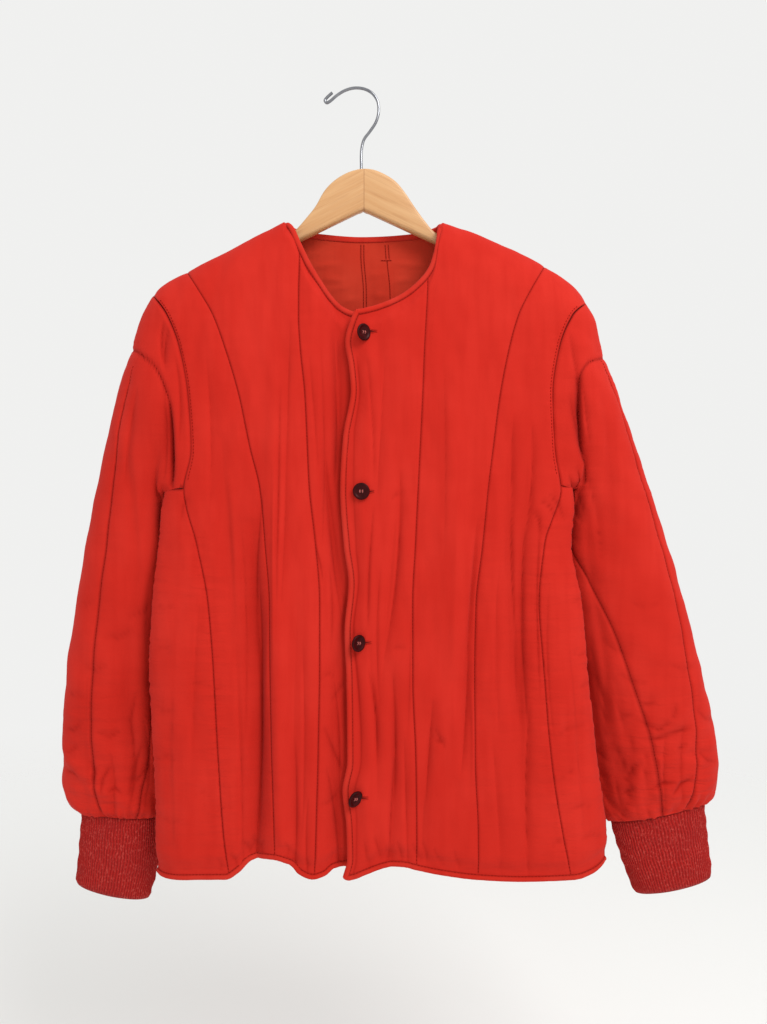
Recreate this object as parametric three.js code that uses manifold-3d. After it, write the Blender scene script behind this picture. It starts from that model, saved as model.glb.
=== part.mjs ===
// Red quilted liner jacket with rib cuffs, hanging on a wooden hanger.
// Millimetres. X runs to the wearer's left, Y to the wearer's back and Z up.
// The origin is the inside top of the hanger's hook.
import * as THREE from 'three';
import Module from 'manifold-3d';
import { mergeVertices } from 'three/addons/utils/BufferGeometryUtils.js';

// Driving dimensions of the padded cloth
const stitchedWall = 2.4; // padding pressed flat at a quilting line
const paddedWall = 5.8; // padding at the middle of a channel
const fadeStart = 9; // pressed margin along a cut edge
const fadeReach = 14; // width over which the padding then fills out
const paddedEverywhere = fadeStart + fadeReach;
const seamPull = 0.2; // each piece stops this far short of its seam
const clearance = 0.3;

// Driving dimensions of the body
const armpitRight = -440;
const armpitLeft = -436;
const neckSide = 1.06; // column that ends high on the side of the neck
const neckCorner = 1.09; // column of the shoulder's end at the neck
const frontRidge = 50; // height over which the front rolls over the hanger
const backRidge = 36;
const sideRadius = 40; // width over which it rolls round to the side seam
const centreBack = 8;
const armholeTurn = 110; // height over which the rolled sides turn into the armhole
const foldsFade = { underShoulder: 120, atSide: 30 };
const underlap = { freeX: 20, startX: -46, reach: 36, step: 10 }; // the under front steps back
const overlap = { startX: 28, reach: 30, lift: 2 }; // and the over front is lifted over it
const neckRise = { slope: 0.5, reach: 80 }; // the shoulder's line, carried on over the neck

// Driving dimensions of the trim
const tapeWidth = 8.5;
const tapeWall = 1.2;
const tapeNose = 0.45; // the tape's fold is rounded off by this much
const sliver = 0.04; // facets smaller than this are merged into their neighbours
const ribCount = 44;
const ribHeight = 0.8;
const cuffWall = 2.2;
const buttonRadius = 9;
const buttonThickness = 3.2;
const seatNudge = 0.1; // a button is raised in these steps until it is clear of the cloth

// Driving dimensions of the hanger
const woodThickness = 11.5;
const woodBevel = 5;
const bevelFlat = 0.5; // the bevel is this much narrower than it is deep
const ridgeGap = 2; // the wood lies this far under the cloth's ridge
const wireRadius = 1.75;
const stem = { x: 8, highZ: -49, lowZ: -109 }; // hole for the hook's stem

// Colours
const cloth = (name, colour) => Object.assign(
  new THREE.MeshStandardMaterial({ color: colour, roughness: 0.88, metalness: 0 }), { name });
const redCotton = cloth('red cotton', 0xcc2d22);
const redTape = cloth('red tape', 0xc8322c);
const redKnit = cloth('red rib knit', 0x9c2422);
const buttonPlastic = new THREE.MeshStandardMaterial({ color: 0x2a0f10, roughness: 0.35, metalness: 0 });
const paleWood = new THREE.MeshStandardMaterial({ color: 0xdcb180, roughness: 0.5, metalness: 0 });
const brightSteel = new THREE.MeshStandardMaterial({ color: 0xb9bcc0, roughness: 0.25, metalness: 1 });

// Long lines of each front by height: the first and second quilting lines,
// the armhole with the third quilting line below it, and the side seam
const rightLines = [
  { z: -150, inner: -57, outer: -225, arm: -262, side: -199 },
  { z: -190, inner: -57, outer: -192, arm: -240, side: -199 },
  { z: -231, inner: -58, outer: -163, arm: -214, side: -199 },
  { z: -255, inner: -58, outer: -149, arm: -197, side: -199 },
  { z: -290, inner: -56, outer: -136, arm: -184, side: -199 },
  { z: -340, inner: -51, outer: -121, arm: -175, side: -199 },
  { z: -400, inner: -48, outer: -108, arm: -171, side: -199 },
  { z: -440, inner: -46, outer: -98, arm: -178, side: -200 },
  { z: -500, inner: -40, outer: -92, arm: -164, side: -203 },
  { z: -560, inner: -36, outer: -87, arm: -152, side: -210 },
  { z: -640, inner: -36, outer: -86, arm: -145, side: -212 },
  { z: -720, inner: -37, outer: -84, arm: -140, side: -207 },
  { z: -800, inner: -39, outer: -81, arm: -134, side: -205 },
  { z: -850, inner: -40, outer: -80, arm: -127, side: -205 },
];
const leftLines = [
  { z: -150, inner: 80, outer: 236, arm: 300, side: 232 },
  { z: -200, inner: 80, outer: 206, arm: 276, side: 232 },
  { z: -238, inner: 79, outer: 184, arm: 250, side: 232 },
  { z: -255, inner: 78, outer: 176, arm: 233, side: 232 },
  { z: -290, inner: 76, outer: 166, arm: 219, side: 232 },
  { z: -340, inner: 74, outer: 156, arm: 212, side: 232 },
  { z: -400, inner: 71, outer: 148, arm: 214, side: 232 },
  { z: -440, inner: 69, outer: 143, arm: 219, side: 233 },
  { z: -500, inner: 66, outer: 137, arm: 201, side: 229 },
  { z: -560, inner: 63, outer: 130, arm: 196, side: 239 },
  { z: -640, inner: 63, outer: 128, arm: 201, side: 246 },
  { z: -720, inner: 66, outer: 128, arm: 207, side: 254 },
  { z: -800, inner: 67, outer: 131, arm: 219, side: 264 },
  { z: -850, inner: 67, outer: 131, arm: 229, side: 266 },
];

// The over front's wavy free edge
const overEdge = [
  { z: -250, x: 3 }, { z: -262, x: -2 }, { z: -284, x: -7 }, { z: -310, x: -3 },
  { z: -335, x: -1 }, { z: -385, x: -9 }, { z: -440, x: -12 }, { z: -500, x: -8 },
  { z: -540, x: -3 }, { z: -590, x: -7 }, { z: -640, x: -5 }, { z: -725, x: -4 },
  { z: -755, x: -9 }, { z: -790, x: -5 }, { z: -825, x: -4 }, { z: -846, x: -9 },
];

// Upper outlines from the front edge round the neck to its corner, and on along the shoulder to its tip
const neckRight = [
  { x: -72, z: -150 }, { x: -66, z: -157 }, { x: -57, z: -177 }, { x: -47, z: -198 },
  { x: -36, z: -217 }, { x: -23, z: -235 }, { x: -11, z: -245 }, { x: 3, z: -250 }, { x: 24, z: -248 },
];
const shoulderRight = [
  { x: -214, z: -231 }, { x: -206, z: -221.5 }, { x: -189, z: -210.5 }, { x: -150, z: -190.5 },
  { x: -111, z: -170 }, { x: -72, z: -150 },
];
const neckLeft = [
  { x: -12, z: -249 }, { x: 3, z: -250 }, { x: 18, z: -247 }, { x: 36, z: -241 }, { x: 54, z: -232 },
  { x: 70, z: -219 }, { x: 81, z: -205 }, { x: 89, z: -181 }, { x: 93, z: -151 },
];
const shoulderLeft = [
  { x: 93, z: -151 }, { x: 131, z: -164 }, { x: 161, z: -177 }, { x: 190, z: -190 }, { x: 211, z: -203 },
  { x: 233, z: -218 }, { x: 243, z: -229 }, { x: 250, z: -241 },
];
const neckBack = [
  { x: -72, z: -150 }, { x: -60, z: -153 }, { x: -32, z: -156 }, { x: 8, z: -158.5 }, { x: 61, z: -156 },
  { x: 80, z: -153.5 }, { x: 93, z: -151 },
];

// Hems
const hemRight = [
  { x: -205, z: -847 }, { x: -196, z: -848 }, { x: -161, z: -846 }, { x: -132, z: -846 },
  { x: -118, z: -839 },
  { x: -104, z: -828 }, { x: -80, z: -825 }, { x: -66, z: -830 }, { x: -55, z: -841 }, { x: -41, z: -846 },
  { x: -30, z: -844 }, { x: -20, z: -838 }, { x: 24, z: -837 },
];
const hemLeft = [
  { x: -12, z: -843 }, { x: -4, z: -846 }, { x: 14, z: -840 }, { x: 33, z: -834 }, { x: 50, z: -833 },
  { x: 66, z: -836 }, { x: 91, z: -841 }, { x: 130, z: -846 }, { x: 174, z: -848 }, { x: 232, z: -846 },
  { x: 250, z: -842 }, { x: 266, z: -833 },
];
const hemBack = [
  { x: -205, z: -847 }, { x: -150, z: -843 }, { x: -90, z: -846 }, { x: -30, z: -842 }, { x: 40, z: -845 },
  { x: 110, z: -841 }, { x: 180, z: -845 }, { x: 235, z: -840 }, { x: 266, z: -833 },
];

// Depths of the hollow by height: front and back walls, and the side seam between them
const hollow = [
  { z: -150, front: 21, back: 14, side: 0 },
  { z: -250, front: 25, back: 15, side: -4 },
  { z: -340, front: 28, back: 16, side: -8 },
  { z: -440, front: 31, back: 18, side: -12 },
  { z: -560, front: 36, back: 20, side: -14 },
  { z: -700, front: 41, back: 22, side: -14 },
  { z: -850, front: 45, back: 24, side: -13 },
];

// Long folds of the body, each a soft trough, or a ridge where its depth is below zero
const foldsRight = [
  { highX: -107, middleX: -96, lowX: -104, highZ: -470, lowZ: -890, width: 11, depth: 12 },
  { highX: -84, middleX: -80, lowX: -72, highZ: -300, lowZ: -890, width: 10, depth: -5 },
  { highX: -18, middleX: -17, lowX: -19, highZ: -262, lowZ: -430, width: 6, depth: 6 },
  { highX: -32, middleX: -24, lowX: -8, highZ: -400, lowZ: -560, width: 7, depth: 5 },
  { highX: -58, middleX: -62, lowX: -60, highZ: -560, lowZ: -890, width: 9, depth: 4 },
  { highX: -140, middleX: -128, lowX: -118, highZ: -380, lowZ: -640, width: 12, depth: 4 },
  { highX: -24, middleX: -20, lowX: -10, highZ: -640, lowZ: -870, width: 8, depth: 6 },
];
const foldsLeft = [
  { highX: 50, middleX: 38, lowX: 28, highZ: -420, lowZ: -680, width: 7, depth: 5 },
  { highX: 15, middleX: 24, lowX: 25, highZ: -600, lowZ: -770, width: 7, depth: 5 },
  { highX: 42, middleX: 44, lowX: 36, highZ: -620, lowZ: -880, width: 8, depth: 6 },
  { highX: 84, middleX: 76, lowX: 72, highZ: -660, lowZ: -830, width: 8, depth: 5 },
  { highX: 133, middleX: 121, lowX: 112, highZ: -470, lowZ: -740, width: 9, depth: 6 },
  { highX: 166, middleX: 163, lowX: 170, highZ: -370, lowZ: -690, width: 9, depth: 5 },
  { highX: 188, middleX: 177, lowX: 182, highZ: -380, lowZ: -840, width: 9, depth: 6 },
  { highX: 110, middleX: 104, lowX: 108, highZ: -300, lowZ: -640, width: 16, depth: -4 },
];
const foldsBack = [
  { highX: -128, middleX: -120, lowX: -126, highZ: -420, lowZ: -890, width: 13, depth: 8 },
  { highX: -40, middleX: -46, lowX: -38, highZ: -300, lowZ: -720, width: 12, depth: 5 },
  { highX: -62, middleX: -70, lowX: -76, highZ: -600, lowZ: -890, width: 11, depth: -5 },
  { highX: 44, middleX: 50, lowX: 46, highZ: -260, lowZ: -620, width: 12, depth: 4 },
  { highX: 70, middleX: 82, lowX: 96, highZ: -520, lowZ: -890, width: 13, depth: 7 },
  { highX: 168, middleX: 160, lowX: 172, highZ: -400, lowZ: -860, width: 13, depth: 7 },
  { highX: 20, middleX: 26, lowX: 22, highZ: -640, lowZ: -890, width: 11, depth: 5 },
];

// Rings of the sleeves and cuffs from the shoulder down: where the tube's outer and inner edges lie,
// and how far its front and back walls stand from them
const sleeveRight = [
  { outX: -214, outZ: -231, outY: 0, inX: -200, inZ: -440, inY: -12, front: 27, back: 17 },
  { outX: -227, outZ: -253, outY: 0, inX: -209, inZ: -436, inY: -9, front: 28, back: 18 },
  { outX: -238, outZ: -288, outY: 1, inX: -215, inZ: -446, inY: -3, front: 28, back: 20 },
  { outX: -256, outZ: -345, outY: 3, inX: -217, inZ: -470, inY: 4, front: 27, back: 21 },
  { outX: -272, outZ: -414, outY: 5, inX: -216, inZ: -505, inY: 9, front: 27, back: 22 },
  { outX: -286, outZ: -480, outY: 6, inX: -216, inZ: -548, inY: 12, front: 27, back: 22 },
  { outX: -300, outZ: -562, outY: 7, inX: -219, inZ: -606, inY: 13, front: 27, back: 22 },
  { outX: -311, outZ: -638, outY: 7, inX: -219, inZ: -664, inY: 14, front: 27, back: 22 },
  { outX: -316, outZ: -705, outY: 8, inX: -216, inZ: -720, inY: 14, front: 26, back: 22 },
  { outX: -316, outZ: -752, outY: 8, inX: -212, inZ: -764, inY: 14, front: 26, back: 22 },
  { outX: -311, outZ: -780, outY: 8, inX: -212, inZ: -788, inY: 13, front: 23, back: 20 },
  { outX: -299, outZ: -791, outY: 8, inX: -217, inZ: -800, inY: 12, front: 16, back: 14 },
];
const cuffRight = [
  { outX: -299, outZ: -791, outY: 8, inX: -217, inZ: -800, inY: 12, front: 16, back: 14 },
  { outX: -302, outZ: -832, outY: 8, inX: -220, inZ: -846, inY: 12, front: 17, back: 15 },
  { outX: -306, outZ: -874, outY: 8, inX: -230, inZ: -893, inY: 12, front: 16, back: 14 },
];
const sleeveLeft = [
  { outX: 250, outZ: -241, outY: 0, inX: 233, inZ: -436, inY: -12, front: 27, back: 17 },
  { outX: 258, outZ: -256, outY: 0, inX: 242, inZ: -432, inY: -9, front: 28, back: 18 },
  { outX: 268, outZ: -292, outY: 1, inX: 247, inZ: -442, inY: -3, front: 28, back: 20 },
  { outX: 289, outZ: -349, outY: 3, inX: 245, inZ: -466, inY: 4, front: 27, back: 21 },
  { outX: 312, outZ: -416, outY: 5, inX: 241, inZ: -503, inY: 9, front: 27, back: 22 },
  { outX: 334, outZ: -482, outY: 6, inX: 245, inZ: -548, inY: 12, front: 27, back: 22 },
  { outX: 358, outZ: -562, outY: 7, inX: 251, inZ: -610, inY: 13, front: 27, back: 22 },
  { outX: 376, outZ: -634, outY: 7, inX: 257, inZ: -668, inY: 14, front: 27, back: 22 },
  { outX: 391, outZ: -698, outY: 8, inX: 263, inZ: -724, inY: 14, front: 26, back: 22 },
  { outX: 397, outZ: -744, outY: 8, inX: 269, inZ: -766, inY: 14, front: 26, back: 22 },
  { outX: 394, outZ: -769, outY: 8, inX: 276, inZ: -790, inY: 13, front: 23, back: 20 },
  { outX: 385, outZ: -782, outY: 8, inX: 287, inZ: -805, inY: 12, front: 16, back: 14 },
];
const cuffLeft = [
  { outX: 385, outZ: -782, outY: 8, inX: 287, inZ: -805, inY: 12, front: 16, back: 14 },
  { outX: 389, outZ: -824, outY: 8, inX: 299, inZ: -846, inY: 12, front: 17, back: 15 },
  { outX: 394, outZ: -867, outY: 8, inX: 314, inZ: -887, inY: 12, front: 16, back: 14 },
];

// The two quilting lines of each sleeve, by ring, as shares of the way from its outer edge to its inner
const quiltRight = [
  { ring: 0, first: 0.1, second: 0.86 }, { ring: 2, first: 0.19, second: 0.86 },
  { ring: 4, first: 0.28, second: 0.86 }, { ring: 6, first: 0.36, second: 0.86 },
  { ring: 8, first: 0.4, second: 0.8 }, { ring: 9, first: 0.41, second: 0.72 },
  { ring: 11, first: 0.43, second: 0.66 },
];
const quiltLeft = [
  { ring: 0, first: 0.12, second: 0.8 }, { ring: 2, first: 0.13, second: 0.86 },
  { ring: 4, first: 0.16, second: 0.85 }, { ring: 6, first: 0.18, second: 0.7 },
  { ring: 8, first: 0.2, second: 0.57 }, { ring: 9, first: 0.22, second: 0.54 },
  { ring: 11, first: 0.25, second: 0.51 },
];

// Creases of the sleeves: the rings they run between and their places round each half
const creasesRight = [
  { fromRing: 0.5, toRing: 4.2, highPlace: 0.62, lowPlace: 0.9, width: 0.09, depth: 9 },
  { fromRing: 5.5, toRing: 9.5, highPlace: 0.62, lowPlace: 0.66, width: 0.08, depth: 4 },
];
const creasesLeft = [
  { fromRing: 0.5, toRing: 4.2, highPlace: 0.5, lowPlace: 0.86, width: 0.09, depth: 9 },
  { fromRing: 6, toRing: 10.5, highPlace: 0.86, lowPlace: 0.78, width: 0.08, depth: 5 },
];

// Visible middles of the buttons, top to bottom
const buttonPlaces = [{ x: 13, z: -273 }, { x: 10, z: -443 }, { x: 7, z: -601 }, { x: 4, z: -761 }];

// Outline of the hanger's wood over its middle, and its arms
const woodCrown = [
  { x: -80, z: -163 }, { x: -70, z: -160 }, { x: -61, z: -152 }, { x: -52, z: -141.5 }, { x: -42, z: -129 },
  { x: -33, z: -113 },
  { x: -23, z: -102 }, { x: -8, z: -92.5 }, { x: 8, z: -88 }, { x: 22, z: -89 }, { x: 35, z: -94.5 },
  { x: 46, z: -102 }, { x: 56, z: -114 }, { x: 66, z: -129 }, { x: 78, z: -145.5 }, { x: 88, z: -157 },
  { x: 100, z: -162.5 },
];
const woodArm = { tipHeight: 15, tipInset: 4, tipBulge: 8 };
const woodApex = { x: 10, z: -134.5, notchHalf: 6, notchDrop: 2 };

// Line of the hook's wire from its foot in the wood to its turned-back end
const hookLine = [
  { x: 8, z: -108 }, { x: 8, z: -84 }, { x: 8.3, z: -66 }, { x: 11, z: -55 }, { x: 17.5, z: -46 },
  { x: 24, z: -36 }, { x: 27, z: -25 }, { x: 26, z: -13 }, { x: 20, z: -4 }, { x: 11, z: 0.8 },
  { x: 0, z: 1.75 }, { x: -10, z: -1 }, { x: -19, z: -6.5 }, { x: -26, z: -12.5 }, { x: -30, z: -14.5 },
  { x: -32, z: -12 }, { x: -29.5, z: -8.5 }, { x: -24, z: -3.5 },
];

const wasm = await Module();
wasm.setup();

// Smooth reading of one column of a table by another
function read(rows, key, column, at) {
  const rising = rows[rows.length - 1][key] > rows[0][key];
  const table = rising ? rows : [...rows].reverse();
  const last = table.length - 1;
  if (at <= table[0][key]) return table[0][column];
  if (at >= table[last][key]) return table[last][column];
  let i = 0;
  while (at > table[i + 1][key]) i += 1;
  const span = (k) => table[k + 1][key] - table[k][key];
  const slope = (k) => (table[k + 1][column] - table[k][column]) / span(k);
  const tangent = (k) => {
    if (k === 0) return slope(0);
    if (k === last) return slope(last - 1);
    const before = slope(k - 1);
    const after = slope(k);
    return before * after <= 0 ? 0 : (2 * before * after) / (before + after);
  };
  const h = span(i);
  const t = (at - table[i][key]) / h;
  return (2 * t ** 3 - 3 * t ** 2 + 1) * table[i][column] + (t ** 3 - 2 * t ** 2 + t) * h * tangent(i)
    + (3 * t ** 2 - 2 * t ** 3) * table[i + 1][column] + (t ** 3 - t ** 2) * h * tangent(i + 1);
}

const mix = (a, b, t) => a + (b - a) * t;
const clamp = (t) => Math.min(1, Math.max(0, t));
const ease = (t) => clamp(t) ** 2 * (3 - 2 * clamp(t));
const roundOver = (distance, reach) => Math.sqrt(1 - (1 - clamp(distance / reach)) ** 2);
const bell = (distance, width) => Math.exp(-((distance / width) ** 2));

const right = {
  lines: rightLines, neck: neckRight, shoulder: shoulderRight, hem: hemRight, armpit: armpitRight, sign: -1,
};
const left = {
  lines: leftLines, neck: neckLeft, shoulder: shoulderLeft, hem: hemLeft, armpit: armpitLeft, sign: 1,
};

// Where a column of a panel lies at a height. Columns 0 to 4 are the free edge or centre back,
// the two quilting lines, the armhole or third line, and the side seam.
function columnX(half, column, z, isBack) {
  const freeEdge = half === right ? underlap.freeX : read(overEdge, 'z', 'x', z);
  const stations = [
    isBack ? centreBack : freeEdge,
    read(half.lines, 'z', 'inner', z),
    read(half.lines, 'z', 'outer', z),
    read(half.lines, 'z', 'arm', z),
    read(half.lines, 'z', 'side', z),
  ];
  const i = Math.min(3, Math.floor(column));
  return mix(stations[i], stations[i + 1], column - i);
}

// The shoulder's two ends, at the neck and at its tip
const shoulderCorner = (half) => half.shoulder.at(half === right ? -1 : 0);
const shoulderTip = (half) => half.shoulder.at(half === right ? 0 : -1);

// The upper outline of a panel above a place across it
function outlineZ(half, x, isBack) {
  const onShoulder = half.sign * (x - shoulderCorner(half).x) >= 0;
  if (onShoulder) return read(half.shoulder, 'x', 'z', x);
  return read(isBack ? neckBack : half.neck, 'x', 'z', x);
}

// The line that the shoulder would follow on over the neck
function ridgeZ(half, x) {
  const corner = shoulderCorner(half);
  const inside = half.sign * (corner.x - x);
  if (inside > 0) return corner.z + neckRise.slope * Math.min(inside, neckRise.reach);
  return read(half.shoulder, 'x', 'z', x);
}

// Where a column meets the upper outline, found by halving the way to it again and again
function topPoint(half, column, isBack) {
  if (column === neckCorner) return shoulderCorner(half);
  if (column === armholeColumn) return shoulderTip(half);
  const halvings = 60;
  let z = shoulderTip(half).z;
  let x = 0;
  for (let step = 0; step < halvings; step += 1) {
    x = columnX(half, column, z, isBack);
    z = mix(z, outlineZ(half, x, isBack), 0.5);
  }
  return { x, z };
}

// Depth that a fold keeps along its length
const alongFold = (along, bluntness) => Math.sin(Math.PI * along) ** bluntness;

function foldDepth(folds, x, z) {
  let sum = 0;
  for (const fold of folds) {
    const along = (z - fold.highZ) / (fold.lowZ - fold.highZ);
    if (along <= 0 || along >= 1) continue;
    const middle = (1 - along) * (1 - 2 * along) * fold.highX + 4 * along * (1 - along) * fold.middleX
      + along * (2 * along - 1) * fold.lowX;
    sum += fold.depth * bell(x - middle, fold.width) * alongFold(along, 0.6);
  }
  return sum;
}

// Depth of the cloth's inner face at a place on a front or on the back
function panelY(half, x, z, isBack) {
  const below = roundOver(ridgeZ(half, x) - z, isBack ? backRidge : frontRidge);
  const fromSide = half.sign * (read(half.lines, 'z', 'side', z) - x);
  const turning = ease((half.armpit + armholeTurn - z) / armholeTurn);
  const across = mix(1, roundOver(fromSide, sideRadius), turning);
  const seamY = read(hollow, 'z', 'side', z) * turning;
  const folds = isBack ? foldsBack : [...foldsRight, ...foldsLeft];
  const underShoulder = ease((ridgeZ(half, x) - z) / foldsFade.underShoulder);
  const settled = underShoulder * ease(fromSide / foldsFade.atSide + (1 - turning));
  const fold = foldDepth(folds, x, z) * settled;
  if (isBack) return mix(seamY, read(hollow, 'z', 'back', z) - fold, below * across);
  const front = mix(seamY, fold - read(hollow, 'z', 'front', z), below * across);
  if (half === left) return front - overlap.lift * ease((overlap.startX - x) / overlap.reach);
  return front + underlap.step * ease((x - underlap.startX) / underlap.reach);
}

// Padding between quilting lines, pressed flat along cut edges
function padding(column, edgeDistance) {
  const share = column - Math.floor(column);
  const crown = 1 - Math.abs(2 * share - 1) ** 3;
  return mix(stitchedWall, paddedWall, crown * ease((edgeDistance - fadeStart) / fadeReach));
}

// Shares of the way down to the armpit and on to the hem, and the columns across
const armholeColumn = 3;
const upperRows = [0, 0.02, 0.07, 0.17, 0.34, 0.54, 0.77, 1];
const lowerRows = [0.04, 0.13, 0.26, 0.41, 0.56, 0.71, 0.86, 0.965, 1];
const frontColumns = [
  0, 0.2, 0.46, 0.74, 1, neckSide, neckCorner, 1.26, 1.44, 1.62, 1.8, 2, 2.25, 2.5, 2.75, 3, 3.3, 3.64, 4,
];
const backColumns = [0, 0.33, 0.66, 1, ...frontColumns.filter((column) => column >= neckCorner)];
const rowCount = upperRows.length + lowerRows.length;

// One node of a panel's grid. Side columns beyond the armhole start at the armpit.
function panelNode(half, column, row, isBack) {
  const upperCount = upperRows.length;
  const underArm = column > armholeColumn;
  if (underArm && row < upperCount - 1) return null;
  const top = underArm ? { z: half.armpit } : topPoint(half, column, isBack);
  const hemTable = isBack ? hemBack : half.hem;
  const hem = read(hemTable, 'x', 'z', columnX(half, column, hemTable[0].z, isBack));
  const z = row < upperCount ? mix(top.z, half.armpit, upperRows[row])
    : mix(half.armpit, hem, lowerRows[row - upperCount]);
  const x = row === 0 ? top.x : columnX(half, column, z, isBack);
  const y = panelY(half, x, z, isBack);
  const fromTop = top.z - z;
  const fromFreeEdge = isBack ? paddedEverywhere : Math.abs(x - columnX(half, 0, z, isBack));
  const fromEdge = Math.min(row === 0 ? 0 : fromTop, z - hem, fromFreeEdge);
  return { point: new THREE.Vector3(x, y, z), wall: padding(column, fromEdge) };
}

// A sheet is a set of inner points with a wall thickness at each and triangles between them
function gridSheet(grid, outward) {
  const points = [];
  const walls = [];
  const index = grid.map((line) => line.map((node) => {
    if (!node) return -1;
    points.push(node.point);
    walls.push(node.wall);
    return points.length - 1;
  }));
  const faces = [];
  for (let i = 0; i + 1 < index.length; i += 1) {
    for (let j = 0; j + 1 < index[i].length; j += 1) {
      const corners = [index[i][j], index[i + 1][j], index[i + 1][j + 1], index[i][j + 1]];
      if (corners.some((corner) => corner < 0)) continue;
      faces.push([corners[0], corners[1], corners[2]], [corners[0], corners[2], corners[3]]);
    }
  }
  return { points, walls, faces: orient(points, faces, outward), index };
}

// Turns all faces over where they look inwards on the whole
function orient(points, faces, outward) {
  let sum = 0;
  for (const [a, b, c] of faces) {
    const normal = points[b].clone().sub(points[a]).cross(points[c].clone().sub(points[a]));
    sum += normal.dot(outward(points[a]));
  }
  return sum < 0 ? faces.map(([a, b, c]) => [a, c, b]) : faces;
}

function panelGrid(half, isBack) {
  const columns = isBack ? backColumns : frontColumns;
  const rows = [...Array(rowCount).keys()];
  return columns.map((column) => rows.map((row) => panelNode(half, column, row, isBack)));
}

const outwardFront = () => new THREE.Vector3(0, -1, 0);
const outwardBack = () => new THREE.Vector3(0, 1, 0);
const frontRightGrid = panelGrid(right, false);
const frontLeftGrid = panelGrid(left, false);
const backRightGrid = panelGrid(right, true);
const backLeftGrid = panelGrid(left, true);
const backGrid = [...[...backRightGrid].reverse(), ...backLeftGrid.slice(1)];

// The loop of an armhole, from the shoulder's tip down the front, under the arm and up the back
function armholeLoop(frontGrid, backGridHalf) {
  const armColumn = frontColumns.indexOf(armholeColumn);
  const backArmColumn = backColumns.indexOf(armholeColumn);
  const armpitRow = upperRows.length - 1;
  const front = frontGrid[armColumn].slice(0, armpitRow + 1);
  const back = backGridHalf[backArmColumn].slice(0, armpitRow + 1);
  const frontStrip = frontGrid.slice(armColumn + 1).map((line) => line[armpitRow]);
  const backStrip = backGridHalf.slice(backArmColumn + 1).map((line) => line[armpitRow]);
  const down = [...front, ...frontStrip];
  const up = [...back, ...backStrip].reverse();
  return [...down, ...up.slice(1, -1)].map((node) => node.point);
}

// Shares of the way round each half of the armhole
function loopShares(loop, halfCount) {
  const lengths = [0];
  for (let j = 1; j <= halfCount; j += 1) lengths.push(lengths[j - 1] + loop[j].distanceTo(loop[j - 1]));
  return lengths.map((length) => length / lengths[halfCount]);
}

// A place on a sleeve or cuff ring: share 0 is the outer edge and share 1 the inner edge
function ringPoint(ring, share, isBack) {
  const angle = Math.PI * share;
  const toInner = (1 - Math.cos(angle)) / 2;
  const depth = Math.sin(angle) * (isBack ? ring.back : -ring.front);
  return new THREE.Vector3(
    mix(ring.outX, ring.inX, toInner),
    mix(ring.outY, ring.inY, toInner) + depth,
    mix(ring.outZ, ring.inZ, toInner),
  );
}

function ringAt(rows, at) {
  const ring = {};
  const numbered = rows.map((row, i) => ({ ...row, place: i }));
  for (const column of Object.keys(rows[0])) ring[column] = read(numbered, 'place', column, at);
  return ring;
}

function creaseDepth(creases, ringNumber, share) {
  let sum = 0;
  for (const crease of creases) {
    const along = (ringNumber - crease.fromRing) / (crease.toRing - crease.fromRing);
    if (along <= 0 || along >= 1) continue;
    const place = mix(crease.highPlace, crease.lowPlace, along);
    sum += crease.depth * bell(share - place, crease.width) * alongFold(along, 0.7);
  }
  return sum;
}

const sleeveRings = [
  0, 0.35, 0.8, 1.3, 1.9, 2.5, 3.1, 3.8, 4.6, 5.4, 6.2, 7, 7.8, 8.6, 9.3, 9.9, 10.4, 10.75, 11,
];
const lastRing = sleeveRings.at(-1);
const headLine = 2.5; // the stitched line across the sleeve's head
const firstIndex = 3; // the points of a ring that lie on its first and second quilting lines
const secondIndex = 7;
const blend = { armholeUntil: 3.2, settledFrom: 3 }; // rings over which the armhole turns into the tube
const ringPitch = 30;

// The share of a half's way round at which its point number k lies, with points on both quilting lines
function channelShare(quilt, ringNumber, k, halfCount) {
  const first = read(quilt, 'ring', 'first', ringNumber);
  const second = read(quilt, 'ring', 'second', ringNumber);
  if (k < firstIndex) return first * (k / firstIndex);
  if (k < secondIndex) return mix(first, second, (k - firstIndex) / (secondIndex - firstIndex));
  return mix(second, 1, (k - secondIndex) / (halfCount - secondIndex));
}

// A sleeve: its first ring is the armhole itself, and the rings below take their own form by degrees
function sleeveGrid(loop, { rows, quilt, creases }) {
  const halfCount = loop.length / 2;
  const frontShares = loopShares(loop, halfCount);
  return sleeveRings.map((ringNumber) => {
    const ring = ringAt(rows, ringNumber);
    const kept = (1 - clamp(ringNumber / blend.armholeUntil)) ** 2;
    const settled = ease(ringNumber / blend.settledFrom);
    const line = [];
    for (let j = 0; j < loop.length; j += 1) {
      const isBack = j > halfCount;
      const k = isBack ? loop.length - j : j;
      const share = mix(frontShares[k], channelShare(quilt, ringNumber, k, halfCount), settled);
      const point = ringPoint(ring, share, isBack);
      const crease = creaseDepth(creases, ringNumber, share);
      point.y += isBack ? -crease : crease;
      const start = ringPoint(ringAt(rows, 0), frontShares[k], isBack);
      point.add(loop[j].clone().sub(start).multiplyScalar(kept));
      if (ringNumber === 0) point.copy(loop[j]);
      const acrossLine = Math.min(...[0, firstIndex, secondIndex, halfCount].map((n) => Math.abs(k - n)));
      const channel = settled * ease(acrossLine / 1.5) + (1 - settled);
      const fromLine = Math.min(ringNumber, lastRing - ringNumber, Math.abs(ringNumber - headLine));
      const lineGap = fromLine * ringPitch;
      const wall = mix(stitchedWall, paddedWall, channel * ease((lineGap - fadeStart / 2) / fadeReach));
      line.push({ point, wall });
    }
    line.push(line[0]);
    return line;
  });
}

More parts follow.
